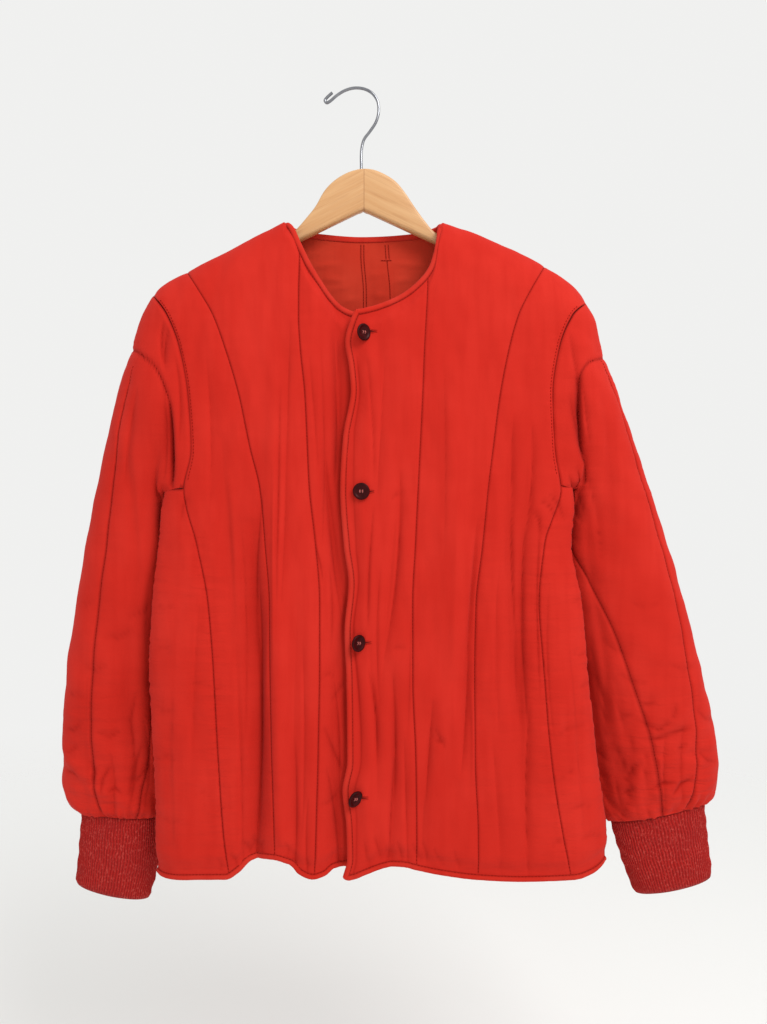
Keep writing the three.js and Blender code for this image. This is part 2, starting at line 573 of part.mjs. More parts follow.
// Joins a tube's last column to its first
function tubeSheet(grid) {
  const around = grid[0].length - 1;
  const points = [];
  const walls = [];
  for (const line of grid) {
    for (const node of line.slice(0, around)) {
      points.push(node.point);
      walls.push(node.wall);
    }
  }
  const index = grid.map((line, i) => line.map((node, j) => i * around + (j % around)));
  const faces = [];
  for (let i = 0; i + 1 < index.length; i += 1) {
    for (let j = 0; j < around; j += 1) {
      const corners = [index[i][j], index[i + 1][j], index[i + 1][j + 1], index[i][j + 1]];
      faces.push([corners[0], corners[1], corners[2]], [corners[0], corners[2], corners[3]]);
    }
  }
  const middle = points.reduce((sum, p) => sum.add(p), new THREE.Vector3()).divideScalar(points.length);
  const outward = (point) => new THREE.Vector3(point.x - middle.x, point.y - middle.y, 0);
  return { points, walls, index, faces: orient(points, faces, outward) };
}

function cuffGrid(rows) {
  const around = ribCount * 2;
  return [0, 1, 2].map((ringNumber) => {
    const ring = ringAt(rows, ringNumber);
    const line = [];
    for (let j = 0; j < around; j += 1) {
      const turn = (2 * j) / around;
      const isBack = turn > 1;
      const point = ringPoint(ring, isBack ? 2 - turn : turn, isBack);
      line.push({ point, wall: cuffWall + (j % 2 ? ribHeight : 0) });
    }
    line.push(line[0]);
    return line;
  });
}

// Outward normals, shared wherever sheets meet at the same point
const keyOf = (point) => point.toArray().map((value) => Math.round(value * 100)).join(' ');
const owners = new Map(); // the sheets that have a point at each place
function shareNormals(sheets) {
  const sums = new Map();
  for (const sheet of sheets) {
    for (const point of sheet.points) {
      const key = keyOf(point);
      owners.set(key, (owners.get(key) ?? new Set()).add(sheet));
    }
    for (const [a, b, c] of sheet.faces) {
      const [p, q, r] = [a, b, c].map((i) => sheet.points[i]);
      const normal = q.clone().sub(p).cross(r.clone().sub(p));
      for (const point of [p, q, r]) {
        const key = keyOf(point);
        sums.set(key, (sums.get(key) ?? new THREE.Vector3()).add(normal));
      }
    }
  }
  for (const sheet of sheets) sheet.normals = sheet.points.map((p) => sums.get(keyOf(p)).clone().normalize());
}

// Turns the normals of one ring of a tube square to the tube's way there
function squareRing(sheet, line, way) {
  const ring = sheet.index[line].slice(0, -1);
  ring.forEach((i, j) => {
    const before = sheet.points[ring[(j + ring.length - 1) % ring.length]];
    const after = sheet.points[ring[(j + 1) % ring.length]];
    const normal = after.clone().sub(before).cross(way).normalize();
    sheet.normals[i] = normal.dot(sheet.normals[i]) < 0 ? normal.negate() : normal;
  });
}

// The edges of a sheet that only one face uses, each with that face's third point
function rimOf(sheet) {
  const used = new Map();
  for (const [a, b, c] of sheet.faces) {
    const edges = [[a, b, c], [b, c, a], [c, a, b]];
    for (const [from, to, third] of edges) used.set(`${from} ${to}`, [from, to, third]);
  }
  return [...used.values()].filter(([from, to]) => !used.has(`${to} ${from}`));
}

// How far a rim point moves so that both its edges move in by their own pulls
function cornerShift(inwards, pulls) {
  const [a, b] = inwards;
  const [pullA, pullB] = pulls;
  const closeness = a.dot(b);
  const nearlyStraight = closeness > 0.8;
  if (nearlyStraight) return a.clone().add(b).normalize().multiplyScalar((pullA + pullB) / 2);
  const shareA = (pullA - closeness * pullB) / (1 - closeness ** 2);
  const shareB = (pullB - closeness * pullA) / (1 - closeness ** 2);
  return a.clone().multiplyScalar(shareA).addScaledVector(b, shareB);
}

// A closed wall: inner points, outer points along the normals, and a rim between them.
// Growth moves both faces out. Sewn rims are pulled in, and free rims by their own measure.
function wallSolid(sheet, freePull = seamPull, growth = 0) {
  const rim = rimOf(sheet);
  const moved = (p, i, out) => p.clone().addScaledVector(sheet.normals[i], out);
  const inner = sheet.points.map((p, i) => moved(p, i, -growth));
  const outer = sheet.points.map((p, i) => moved(p, i, sheet.walls[i] + growth));
  const meeting = new Map();
  for (const [from, to, third] of rim) {
    const along = sheet.points[to].clone().sub(sheet.points[from]).normalize();
    const inward = sheet.points[third].clone().sub(sheet.points[from]);
    inward.addScaledVector(along, -inward.dot(along)).normalize();
    const sewn = [from, to].every((i) => owners.get(keyOf(sheet.points[i])).size > 1);
    for (const i of [from, to]) {
      if (!meeting.has(i)) meeting.set(i, { inwards: [], pulls: [] });
      meeting.get(i).inwards.push(inward);
      meeting.get(i).pulls.push(sewn ? seamPull : freePull);
    }
  }
  for (const [i, { inwards, pulls }] of meeting) {
    const shift = cornerShift(inwards, pulls);
    inner[i].add(shift);
    outer[i].add(shift);
  }
  const count = sheet.points.length;
  const faces = [
    ...sheet.faces.map(([a, b, c]) => [a + count, b + count, c + count]),
    ...sheet.faces.map(([a, b, c]) => [a, c, b]),
  ];
  for (const [from, to] of rim) {
    faces.push([from, to, to + count], [from, to + count, from + count]);
  }
  return { points: [...inner, ...outer], faces };
}

function solidGeometry({ points, faces }) {
  const geometry = new THREE.BufferGeometry();
  geometry.setAttribute('position', new THREE.Float32BufferAttribute(points.flatMap((p) => p.toArray()), 3));
  geometry.setIndex(faces.flat());
  return geometry;
}

function toManifold(geometry) {
  const bare = geometry.clone();
  for (const name of Object.keys(bare.attributes)) if (name !== 'position') bare.deleteAttribute(name);
  const merged = mergeVertices(bare, 1e-4);
  return new wasm.Manifold(new wasm.Mesh({
    numProp: 3,
    vertProperties: new Float32Array(merged.attributes.position.array),
    triVerts: new Uint32Array(merged.index.array),
  }));
}

function fromManifold(solid) {
  const mesh = solid.getMesh();
  const geometry = new THREE.BufferGeometry();
  geometry.setAttribute('position', new THREE.BufferAttribute(new Float32Array(mesh.vertProperties), 3));
  geometry.setIndex(new THREE.BufferAttribute(new Uint32Array(mesh.triVerts), 1));
  return geometry;
}

const group = new THREE.Group();
function addPiece(name, geometry, material) {
  const mesh = new THREE.Mesh(geometry, material);
  mesh.name = name;
  group.add(mesh);
}

// Padded panels, sleeves and cuffs
const armholeRight = armholeLoop(frontRightGrid, backRightGrid);
const armholeLeft = armholeLoop(frontLeftGrid, backLeftGrid);
const rightArm = { rows: sleeveRight, quilt: quiltRight, creases: creasesRight };
const leftArm = { rows: sleeveLeft, quilt: quiltLeft, creases: creasesLeft };
const sheets = {
  front_right: gridSheet(frontRightGrid, outwardFront),
  front_left: gridSheet(frontLeftGrid, outwardFront),
  back: gridSheet(backGrid, outwardBack),
  sleeve_right: tubeSheet(sleeveGrid(armholeRight, rightArm)),
  sleeve_left: tubeSheet(sleeveGrid(armholeLeft, leftArm)),
  cuff_right: tubeSheet(cuffGrid(cuffRight)),
  cuff_left: tubeSheet(cuffGrid(cuffLeft)),
};
shareNormals(Object.values(sheets));
for (const [side, rows] of [['right', cuffRight], ['left', cuffLeft]]) {
  const way = new THREE.Vector3(rows[1].outX + rows[1].inX - rows[0].outX - rows[0].inX, 0,
    rows[1].outZ + rows[1].inZ - rows[0].outZ - rows[0].inZ).normalize();
  squareRing(sheets[`sleeve_${side}`], sleeveRings.length - 1, way);
  squareRing(sheets[`cuff_${side}`], 0, way);
}
for (const [name, sheet] of Object.entries(sheets)) {
  const material = name.startsWith('cuff') ? redKnit : redCotton;
  addPiece(name, solidGeometry(wallSolid(sheet)), material);
}

// The rim of a grid as a path: point, outward normal and wall at each node
function rimPath(sheet, nodes) {
  return nodes.map((i) => ({ point: sheet.points[i], normal: sheet.normals[i], wall: sheet.walls[i] }));
}

// A folded tape over a rim, before the cloth is cut out of it. The cloth lies to the side of the path
// that inside gives, and growth swells the tape for cutting its neighbours.
function tapeSolid({ path, inside }, growth = 0) {
  const cover = tapeWall + clearance + growth;
  const endShift = growth > 0 ? growth : -seamPull;
  const last = path.length - 1;
  const rings = path.map((node, i) => {
    const along = path[Math.min(last, i + 1)].point.clone().sub(path[Math.max(0, i - 1)].point).normalize();
    const point = node.point.clone();
    if (i === 0) point.addScaledVector(along, -endShift);
    if (i === last) point.addScaledVector(along, endShift);
    const into = node.into ?? node.normal.clone().cross(along).normalize().multiplyScalar(inside);
    const normal = node.normal.clone().addScaledVector(into, -node.normal.dot(into)).normalize();
    const top = node.wall + cover;
    const section = [
      [tapeWidth + growth, -cover], [-tapeNose, -cover], [-cover, -tapeNose],
      [-cover, node.wall + tapeNose], [-tapeNose, top], [tapeWidth + growth, top],
    ];
    return section.map(([e, n]) => point.clone().addScaledVector(into, e).addScaledVector(normal, n));
  });
  const size = rings[0].length;
  const points = rings.flat();
  const faces = [];
  for (let i = 0; i < last; i += 1) {
    for (let j = 0; j < size; j += 1) {
      const [a, b] = [i * size + j, i * size + ((j + 1) % size)];
      faces.push([a, b, b + size], [a, b + size, a + size]);
    }
  }
  const end = last * size;
  for (let j = 1; j + 1 < size; j += 1) faces.push([0, j + 1, j], [end, end + j, end + j + 1]);
  const solid = toManifold(solidGeometry({ points, faces }));
  if (solid.volume() > 0) return solid;
  return toManifold(solidGeometry({ points, faces: faces.map(([a, b, c]) => [a, c, b]) }));
}

// Each piece of cloth swollen by its clearance and moved each way a little, for cutting the tapes
const shifts = [[1, 0, 0], [0, 1, 0], [0, 0, 1]].flatMap((way) => [way, way.map((value) => -value)]);
const swollen = ['front_right', 'front_left', 'back'].flatMap((name) => {
  const plain = toManifold(solidGeometry(wallSolid(sheets[name])));
  const fuller = toManifold(solidGeometry(wallSolid(sheets[name], -clearance, clearance)));
  return [fuller, ...shifts.map((way) => plain.translate(way.map((value) => value * seamPull)))];
});

// Paths of the tapes
const columnEdge = (sheet, column) => sheet.index[column].filter((i) => i >= 0);
const rowEdge = (sheet, row) => sheet.index.map((line) => line[row]).filter((i) => i >= 0);
const cornerIndex = frontColumns.indexOf(neckCorner);
const backCorner = backColumns.indexOf(neckCorner);
const backMiddle = backColumns.length - 1;
const neckRightPath = rimPath(sheets.front_right, rowEdge(sheets.front_right, 0).slice(0, cornerIndex + 1));
const neckLeftPath = rimPath(sheets.front_left, rowEdge(sheets.front_left, 0).slice(0, cornerIndex + 1));
const backTop = sheets.back.index.map((line) => line[0]);
const backNeck = backTop.slice(backMiddle - backCorner, backMiddle + backCorner + 1);
const neckBackPath = rimPath(sheets.back, backNeck);
const neckPath = [...neckRightPath, ...neckBackPath.slice(1, -1), ...[...neckLeftPath].reverse()];
const shoulderWay = (half) => new THREE.Vector3(half.sign, 0, -neckRise.slope).normalize();
neckRightPath[cornerIndex].into = shoulderWay(right);
neckLeftPath[cornerIndex].into = shoulderWay(left);
const rightEdgePath = rimPath(sheets.front_right, columnEdge(sheets.front_right, 0));
const leftEdgePath = rimPath(sheets.front_left, columnEdge(sheets.front_left, 0));
const tapeMiddleZ = -500;
const tapes = {
  neck_binding: { path: neckPath },
  edge_binding_right: { path: rightEdgePath, middleX: -110 },
  edge_binding_left: { path: leftEdgePath, middleX: 120 },
  hem_binding_right: { path: rimPath(sheets.front_right, rowEdge(sheets.front_right, rowCount - 1)) },
  hem_binding_left: { path: rimPath(sheets.front_left, rowEdge(sheets.front_left, rowCount - 1)) },
  hem_binding_back: { path: rimPath(sheets.back, rowEdge(sheets.back, rowCount - 1)) },
};

// Which side of its path the cloth lies on, read from the cloth's own middle
for (const tape of Object.values(tapes)) {
  const half = Math.floor(tape.path.length / 2);
  const { point, normal } = tape.path[half];
  const along = tape.path[half + 1].point.clone().sub(tape.path[half - 1].point);
  const into = normal.clone().cross(along);
  const middle = new THREE.Vector3(tape.middleX ?? centreBack, point.y, tapeMiddleZ);
  tape.inside = into.dot(middle.sub(point)) > 0 ? 1 : -1;
}
const cutOrder = Object.keys(tapes);
cutOrder.forEach((name, place) => {
  const tape = tapes[name];
  let solid = tapeSolid(tape);
  for (const body of swollen) solid = solid.subtract(body);
  for (const earlier of cutOrder.slice(0, place)) {
    solid = solid.subtract(tapeSolid(tapes[earlier], clearance + seamPull));
  }
  const pieces = solid.simplify(sliver).decompose().sort((a, b) => b.volume() - a.volume());
  addPiece(name, fromManifold(pieces[0]), redTape);
});

// Buttons: a rimmed disc with a sunk middle, laid on the over front
function buttonGeometry() {
  const half = buttonThickness / 2;
  const profile = [
    [0, -half], [buttonRadius - 1.6, -half], [buttonRadius, -0.3], [buttonRadius, 0.7],
    [buttonRadius - 0.9, half], [buttonRadius - 2.2, half], [buttonRadius - 3.4, half - 0.9], [0, half - 1],
  ];
  return new THREE.LatheGeometry(profile.map(([r, h]) => new THREE.Vector2(r, h)), 16);
}

const pieceSolid = (name) => toManifold(group.getObjectByName(name).geometry);
const overFront = [pieceSolid('front_left'), pieceSolid('edge_binding_left')];
buttonPlaces.forEach((place, i) => {
  const depthAt = (stepX, stepZ) => panelY(left, place.x + stepX, place.z + stepZ, false);
  const reach = buttonRadius * 0.7;
  const slopeX = (depthAt(reach, 0) - depthAt(-reach, 0)) / (2 * reach);
  const slopeZ = (depthAt(0, reach) - depthAt(0, -reach)) / (2 * reach);
  const facing = new THREE.Vector3(slopeX, -1, slopeZ).normalize();
  const geometry = buttonGeometry();
  geometry.applyQuaternion(new THREE.Quaternion().setFromUnitVectors(new THREE.Vector3(0, 1, 0), facing));
  const seat = new THREE.Vector3(place.x, depthAt(0, 0), place.z).addScaledVector(facing, stitchedWall);
  geometry.translate(...seat.toArray());
  const touches = () => {
    const button = toManifold(geometry);
    return overFront.some((cloth) => button.intersect(cloth).volume() > 0
      || button.minGap(cloth, 2 * clearance) < clearance);
  };
  while (touches()) geometry.translate(...facing.clone().multiplyScalar(seatNudge).toArray());
  addPiece(`button_${i + 1}`, geometry, buttonPlastic);
});

// Hanger: one shaped board with rounded edges, and a hole for the hook's stem
const armEnd = frontColumns.indexOf(2.5);
const armNodes = (grid) => grid.slice(cornerIndex + 1, armEnd + 1).map((line) => line[0].point);
const armTop = (grid) => armNodes(grid).map((point) => [point.x, point.z - ridgeGap]);
const woodTop = [
  ...armTop(frontRightGrid).reverse(),
  ...woodCrown.map(({ x, z }) => [x, z]),
  ...armTop(frontLeftGrid),
];
const [firstTop, lastTop] = [woodTop[0], woodTop.at(-1)];
const tipLow = { right: firstTop[1] - woodArm.tipHeight, left: lastTop[1] - woodArm.tipHeight };
const notchZ = woodApex.z - woodApex.notchDrop;
const wood = new THREE.Shape();
wood.moveTo(woodApex.x, woodApex.z);
wood.lineTo(woodApex.x - woodApex.notchHalf, notchZ);
wood.lineTo(firstTop[0] + woodArm.tipInset, tipLow.right);
wood.quadraticCurveTo(firstTop[0] - woodArm.tipBulge, tipLow.right, ...firstTop);
for (const [x, z] of woodTop.slice(1)) wood.lineTo(x, z);
wood.quadraticCurveTo(lastTop[0] + woodArm.tipBulge, tipLow.left, lastTop[0] - woodArm.tipInset, tipLow.left);
wood.lineTo(woodApex.x + woodApex.notchHalf, notchZ);
wood.closePath();
const flatDepth = woodThickness - 2 * woodBevel;
const board = new THREE.ExtrudeGeometry(wood, {
  depth: flatDepth, bevelThickness: woodBevel, bevelSize: woodBevel - bevelFlat,
  bevelOffset: bevelFlat - woodBevel, bevelSegments: 3, curveSegments: 5,
});
board.translate(0, 0, -flatDepth / 2).rotateX(Math.PI / 2);
const holeRadius = wireRadius + clearance;
const stemHole = new THREE.CylinderGeometry(holeRadius, holeRadius, stem.highZ - stem.lowZ, 16);
stemHole.rotateX(Math.PI / 2).translate(stem.x, 0, (stem.highZ + stem.lowZ) / 2);
addPiece('hanger_wood', fromManifold(toManifold(board).subtract(toManifold(stemHole))), paleWood);

// Hook: one bent wire
const hookPoints = hookLine.map(({ x, z }) => new THREE.Vector3(x, 0, z));
const hookCurve = new THREE.CatmullRomCurve3(hookPoints, false, 'centripetal');
const wire = new THREE.Shape();
wire.absarc(0, 0, wireRadius, 0, 2 * Math.PI);
addPiece('hanger_hook', new THREE.ExtrudeGeometry(wire, {
  steps: 48, bevelEnabled: false, extrudePath: hookCurve, curveSegments: 4,
}), brightSteel);

export default group;
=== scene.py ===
# Looks of the red quilted liner jacket on its wooden hanger.
# Tables and forms are in millimetres, as in the part's own source, and meshes are made in metres.
import math

import bpy
import numpy as np
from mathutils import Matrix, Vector


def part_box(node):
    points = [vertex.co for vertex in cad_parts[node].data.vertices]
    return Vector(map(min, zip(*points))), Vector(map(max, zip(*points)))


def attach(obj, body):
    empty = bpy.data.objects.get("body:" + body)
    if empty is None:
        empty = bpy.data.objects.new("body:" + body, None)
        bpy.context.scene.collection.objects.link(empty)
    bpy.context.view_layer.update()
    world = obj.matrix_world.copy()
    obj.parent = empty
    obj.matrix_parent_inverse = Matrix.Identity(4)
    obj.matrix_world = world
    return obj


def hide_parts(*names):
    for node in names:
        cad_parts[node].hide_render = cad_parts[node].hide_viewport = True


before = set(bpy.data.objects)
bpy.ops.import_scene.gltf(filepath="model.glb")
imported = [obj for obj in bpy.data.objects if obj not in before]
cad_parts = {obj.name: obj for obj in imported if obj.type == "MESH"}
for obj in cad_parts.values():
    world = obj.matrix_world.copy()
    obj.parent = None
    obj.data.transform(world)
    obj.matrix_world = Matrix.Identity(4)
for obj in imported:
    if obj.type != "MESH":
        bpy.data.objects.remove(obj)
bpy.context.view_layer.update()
MM = 0.001

# Camera at the photograph's place, looking along +Y
camera = bpy.data.objects.new("camera", bpy.data.cameras.new("camera"))
camera.location = (0.03245, -0.860, -0.4645)
camera.rotation_euler = (math.radians(90), 0, 0)
camera.data.lens = 27.49
camera.data.sensor_width = 36
camera.data.clip_start = 0.02
bpy.context.scene.collection.objects.link(camera)
bpy.context.scene.camera = camera


def table(columns, rows):
    """A table as one array for each named column."""
    return dict(zip(columns.split(), np.array(rows, float).T))


# Sizes of the padded cloth
STITCHED_WALL = 2.4  # thickness where it is pressed flat under a binding
PADDED_WALL = 6.0
LEAST_WALL = 0.5
VALLEY_SHARE, VALLEY_DEPTH, VALLEY_WIDTH = 0.82, 1.4, 0.95  # of the padding at a quilting line
SEAM_DIP = 5.0  # width beside a seam over which the padding falls to it
SEAM_WALL = 4.1  # thickness at a seam, where the padding is caught
TIP_WALL, TIP_REACH = 5.7, 24.0  # thickness where the armhole seam meets the outline of the shoulder
SHOULDER_TIPS = {"right": (-214, -232), "left": (250, -236)}
LINE_MARK, SEAM_MARK = 0.65, 0.9  # half widths of the painted shade of a quilting line's groove and of a seam
PRESSED = 9.0  # margin pressed flat under a binding
FADE = 14.0  # width over which the padding comes back beside it
CHANNEL_RISE = 15.0  # distance over which the padding rises from a quilting line
ARMPIT = {"right": -440.0, "left": -436.0}
HEM_HEIGHT = -845.0
NECK_CORNER, ARMHOLE_COLUMN, SIDE_COLUMN = 1.09, 3, 4  # columns where a panel's outline turns
FRONT_RIDGE, BACK_RIDGE, SIDE_RADIUS = 50.0, 36.0, 40.0
ARMHOLE_TURN = 110.0  # height over which the rolled side turns into the armhole
CENTRE_BACK = 8.0
OVERHANG = 4.2  # of the padding beyond the side seam
UNDERLAP = {"free_x": 20.0, "start_x": -46.0, "reach": 36.0, "step": 10.0}
OVERLAP = {"start_x": 28.0, "reach": 30.0, "lift": 2.0}
FAR = 99.0  # stands for a distance beyond the reach of any seam or tape

# Long lines of each front by height: two quilting lines, the armhole or third line, and the side seam
LINES = {
    "right": table("z inner outer arm side", [
        (-150, -57, -225, -262, -199), (-190, -57, -192, -240, -199), (-231, -58, -163, -214, -199),
        (-255, -58, -149, -197, -199), (-290, -56, -136, -184, -199), (-340, -51, -121, -175, -199),
        (-400, -48, -108, -171, -199), (-440, -46, -98, -178, -200), (-500, -40, -92, -164, -203),
        (-560, -36, -87, -152, -210), (-640, -36, -86, -145, -212), (-720, -37, -84, -140, -207),
        (-800, -39, -81, -134, -205), (-850, -40, -80, -127, -205),
    ]),
    "left": table("z inner outer arm side", [
        (-150, 80, 236, 300, 232), (-200, 80, 206, 276, 232), (-238, 79, 184, 250, 232),
        (-255, 78, 176, 233, 232), (-290, 76, 166, 219, 232), (-340, 74, 156, 212, 232),
        (-400, 71, 148, 214, 232), (-440, 69, 143, 219, 233), (-500, 66, 137, 201, 229),
        (-560, 63, 130, 196, 239), (-640, 63, 128, 201, 246), (-720, 66, 128, 207, 254),
        (-800, 67, 131, 219, 264), (-850, 67, 131, 229, 266),
    ]),
}
OVER_EDGE = table("z x", [
    (-250, 3), (-262, -2), (-284, -7), (-310, -3), (-335, -1), (-385, -9), (-440, -12), (-500, -8),
    (-540, -3), (-590, -7), (-640, -5), (-725, -4), (-755, -9), (-790, -5), (-825, -4), (-846, -9),
])
NECK = {
    "right": table("x z", [
        (-72, -150), (-66, -157), (-57, -177), (-47, -198), (-36, -217), (-23, -235), (-11, -245),
        (3, -250), (24, -248),
    ]),
    "left": table("x z", [
        (-12, -249), (3, -250), (18, -247), (36, -241), (54, -232), (70, -219), (81, -205),
        (89, -181), (93, -151),
    ]),
    "back": table("x z", [
        (-72, -150), (-60, -153), (-32, -156), (8, -158.5), (61, -156), (80, -153.5), (93, -151),
    ]),
}
SHOULDER = {
    "right": table("x z", [
        (-214, -231), (-206, -221.5), (-189, -210.5), (-150, -190.5), (-111, -170), (-72, -150),
    ]),
    "left": table("x z", [
        (93, -151), (131, -164), (161, -177), (190, -190), (211, -203), (233, -218), (243, -229),
        (250, -241),
    ]),
}
HEM = {
    "right": table("x z", [
        (-205, -847), (-196, -848), (-161, -846), (-132, -846), (-118, -839), (-104, -828), (-80, -825),
        (-66, -830), (-55, -841), (-41, -846), (-30, -844), (-20, -838), (24, -837),
    ]),
    "left": table("x z", [
        (-12, -843), (-4, -846), (14, -840), (33, -834), (50, -833), (66, -836), (91, -841),
        (130, -846), (174, -848), (232, -846), (250, -842), (266, -833),
    ]),
    "back": table("x z", [
        (-205, -847), (-150, -843), (-90, -846), (-30, -842), (40, -845), (110, -841), (180, -845),
        (235, -840), (266, -833),
    ]),
}
HOLLOW = table("z front back side", [
    (-150, 21, 14, 0), (-250, 25, 15, -4), (-340, 28, 16, -8), (-440, 31, 18, -12),
    (-560, 36, 20, -14), (-700, 41, 22, -14), (-850, 45, 24, -13),
])

# Folds of the body: broad ones as in the solids, then the finer creases of the photograph.
# A depth below zero is a ridge.
FOLD_COLUMNS = "high_x middle_x low_x high_z low_z width depth"
FOLDS_FRONT = table(FOLD_COLUMNS, [
    (-107, -96, -104, -470, -890, 11, 12), (-84, -80, -72, -300, -890, 10, -5),
    (-18, -17, -19, -262, -430, 5, 5), (-32, -24, -8, -400, -560, 6, 4),
    (-58, -62, -60, -560, -890, 9, 3), (-140, -128, -118, -380, -640, 12, 4),
    (-24, -20, -10, -640, -870, 8, 3), (50, 38, 28, -420, -680, 7, 3.5),
    (15, 24, 25, -600, -770, 7, 3), (42, 44, 36, -620, -880, 8, 3.5), (84, 76, 72, -660, -830, 8, 3.5),
    (133, 121, 112, -470, -740, 9, 5), (166, 163, 170, -370, -690, 9, 4),
    (188, 177, 182, -380, -840, 9, 5), (110, 104, 108, -300, -640, 16, -4),
])
BROAD_FADING, FINE_FADING = (120, 30), (40, 12)  # of folds, below the shoulders and beside the side seams
FINE_DEPTH = 1.25  # factor on the depths of the fine creases
CRISP = {"broad": 0.55, "fine": 0.9}  # how far a fold is a sharp line with a gentle side, not a round trough
GENTLE_SIDES = (-1, 1, 1, -1, 1)  # for the folds in turn: the side of the sharp line that is gentle
# How much painted shade a fold puts on the cloth: the share and width of the line at its bottom, the veil's
# width to the fold's own, the depth of fold that is fully dark, and the most that a deeper one adds
LINE_SHARE, LINE_WIDTH, VEIL_WIDTH, FULL_DEPTH, DARKEST = 0.6, 0.85, 1.1, 3.2, 2.2
FOLDS_BACK = table(FOLD_COLUMNS, [
    (-128, -120, -126, -420, -890, 13, 8), (-40, -46, -38, -300, -720, 12, 5),
    (-62, -70, -76, -600, -890, 11, -5), (44, 50, 46, -260, -620, 12, 4),
    (70, 82, 96, -520, -890, 13, 7), (168, 160, 172, -400, -860, 13, 7),
    (20, 26, 22, -640, -890, 11, 5),
])
CREASES_FRONT = table(FOLD_COLUMNS, [
    # the wearer's right front
    (-76, -78, -79, -330, -560, 2.6, 2.2), (-82, -83, -83, -400, -640, 2.4, -1.6),
    (-70, -71, -74, -380, -560, 2.6, 1.8), (-93, -101, -98, -440, -620, 4.5, 3.2),
    (-99, -96, -103, -520, -850, 3.4, 4.6), (-88, -92, -96, -560, -760, 3.0, -1.6),
    (-46, -42, -38, -300, -420, 3.4, 1.6), (-36, -33, -34, -290, -500, 3.6, 1.9),
    (-24, -20, -21, -270, -440, 2.6, 3.0), (-31, -26, -12, -410, -580, 3.0, 2.6),
    (-40, -36, -33, -500, -540, 2.0, 1.6), (-27, -24, -25, -520, -610, 2.2, 1.6),
    (-52, -50, -52, -600, -800, 3.2, 1.8), (-22, -16, -15, -640, -760, 2.6, 2.2),
    (-30, -20, -14, -730, -850, 3.0, 2.6), (-66, -68, -69, -260, -420, 4.0, 1.4),
    (-118, -112, -112, -470, -700, 3.6, 1.6), (-122, -116, -114, -600, -860, 3.0, 2.0),
    (-130, -124, -122, -420, -620, 3.6, -1.4), (-155, -150, -150, -300, -460, 5.0, 1.6),
    (-60, -58, -60, -700, -850, 3.0, 2.2), (-46, -48, -46, -760, -850, 2.6, 1.8),
    (-160, -165, -166, -560, -740, 4.0, 1.2), (-184, -186, -180, -640, -830, 4.0, 1.3),
    # the wearer's left front
    (14, 20, 22, -300, -430, 3.4, 1.8), (22, 17, 16, -460, -590, 2.6, 2.4),
    (34, 30, 26, -300, -450, 4.0, 1.5), (50, 47, 33, -420, -620, 2.8, 2.8),
    (30, 26, 29, -520, -670, 2.8, 1.8), (16, 24, 25, -630, -730, 2.6, 3.0),
    (42, 45, 43, -630, -770, 2.8, 2.8), (44, 40, 38, -720, -840, 2.8, 2.6),
    (84, 80, 76, -660, -770, 3.0, 2.6), (86, 92, 98, -690, -712, 3.0, 1.6),
    (54, 56, 58, -700, -845, 3.2, 2.0), (62, 60, 58, -560, -700, 3.4, 1.2),
    (132, 125, 120, -470, -620, 2.8, 2.6), (121, 119, 113, -600, -740, 2.8, 2.6),
    (124, 126, 124, -640, -760, 2.2, -1.4), (170, 168, 170, -360, -480, 2.8, 1.8),
    (168, 168, 171, -450, -590, 2.8, 2.6), (171, 172, 176, -580, -690, 2.6, 2.2),
    (189, 189, 180, -370, -500, 2.8, 2.4), (182, 179, 185, -480, -700, 2.8, 3.0),
    (186, 181, 184, -660, -850, 2.8, 2.8), (197, 194, 196, -460, -660, 2.6, 2.2),
    (154, 150, 154, -520, -700, 3.4, 1.4), (146, 152, 156, -700, -850, 3.4, 1.6),
    (96, 98, 96, -300, -520, 5.0, 1.2), (112, 108, 104, -440, -640, 4.2, -1.2),
    (206, 204, 210, -540, -700, 3.2, 1.4), (224, 232, 238, -600, -800, 4.0, 1.2),
])
TAPE_CREASE, CREASE_TOP = 10.5, -290  # the crease beside the over front's tape: distance from the edge, top
GAP_DEPTH = 2.2
GAPS = [(-400, 40), (-560, 45), (-650, 40), (-760, 60), (-820, 30)]  # heights and reaches of the dark gaps
CREASES_BACK = table(FOLD_COLUMNS, [
    (-118, -112, -118, -460, -840, 4.0, 3.2), (-136, -134, -132, -500, -760, 3.4, 2.2),
    (-44, -50, -44, -330, -620, 4.0, 1.8), (-30, -34, -30, -560, -820, 3.4, 2.0),
    (48, 54, 52, -300, -560, 4.0, 1.8), (76, 86, 92, -560, -850, 3.6, 3.0),
    (62, 68, 72, -600, -800, 3.2, 1.8), (160, 152, 164, -430, -800, 3.8, 3.0),
    (178, 172, 182, -500, -760, 3.4, 2.0), (24, 28, 24, -660, -850, 3.4, 2.4),
    (-80, -84, -90, -640, -850, 3.6, 2.0), (112, 116, 112, -420, -660, 4.0, -1.4),
    (-96, -92, -96, -360, -560, 4.4, 1.3), (-160, -166, -160, -560, -760, 4.0, 1.4),
    (206, 212, 208, -560, -800, 4.0, 1.4), (-6, -2, -6, -420, -640, 4.2, 1.2),
])

# Level wrinkles of the lining below the back of the neck: middle x and z, half length, rise and depth
LINING_WRINKLES = [
    (-33, -189, 13, 0.12, 1.5), (-22, -205, 12, -0.1, 1.7), (-16, -214, 11, 0.2, 1.3),
    (62, -188, 16, -0.1, 1.7), (54, -206, 10, 0.15, 1.5), (24, -199, 8, 0.1, 1.1),
    (28, -222, 9, -0.15, 1.2), (70, -214, 10, 0.2, 1.2), (-6, -228, 9, 0.1, 1.1), (-46, -176, 9, 0.3, 1.2),
]
WRINKLE_HEIGHT = 2.4

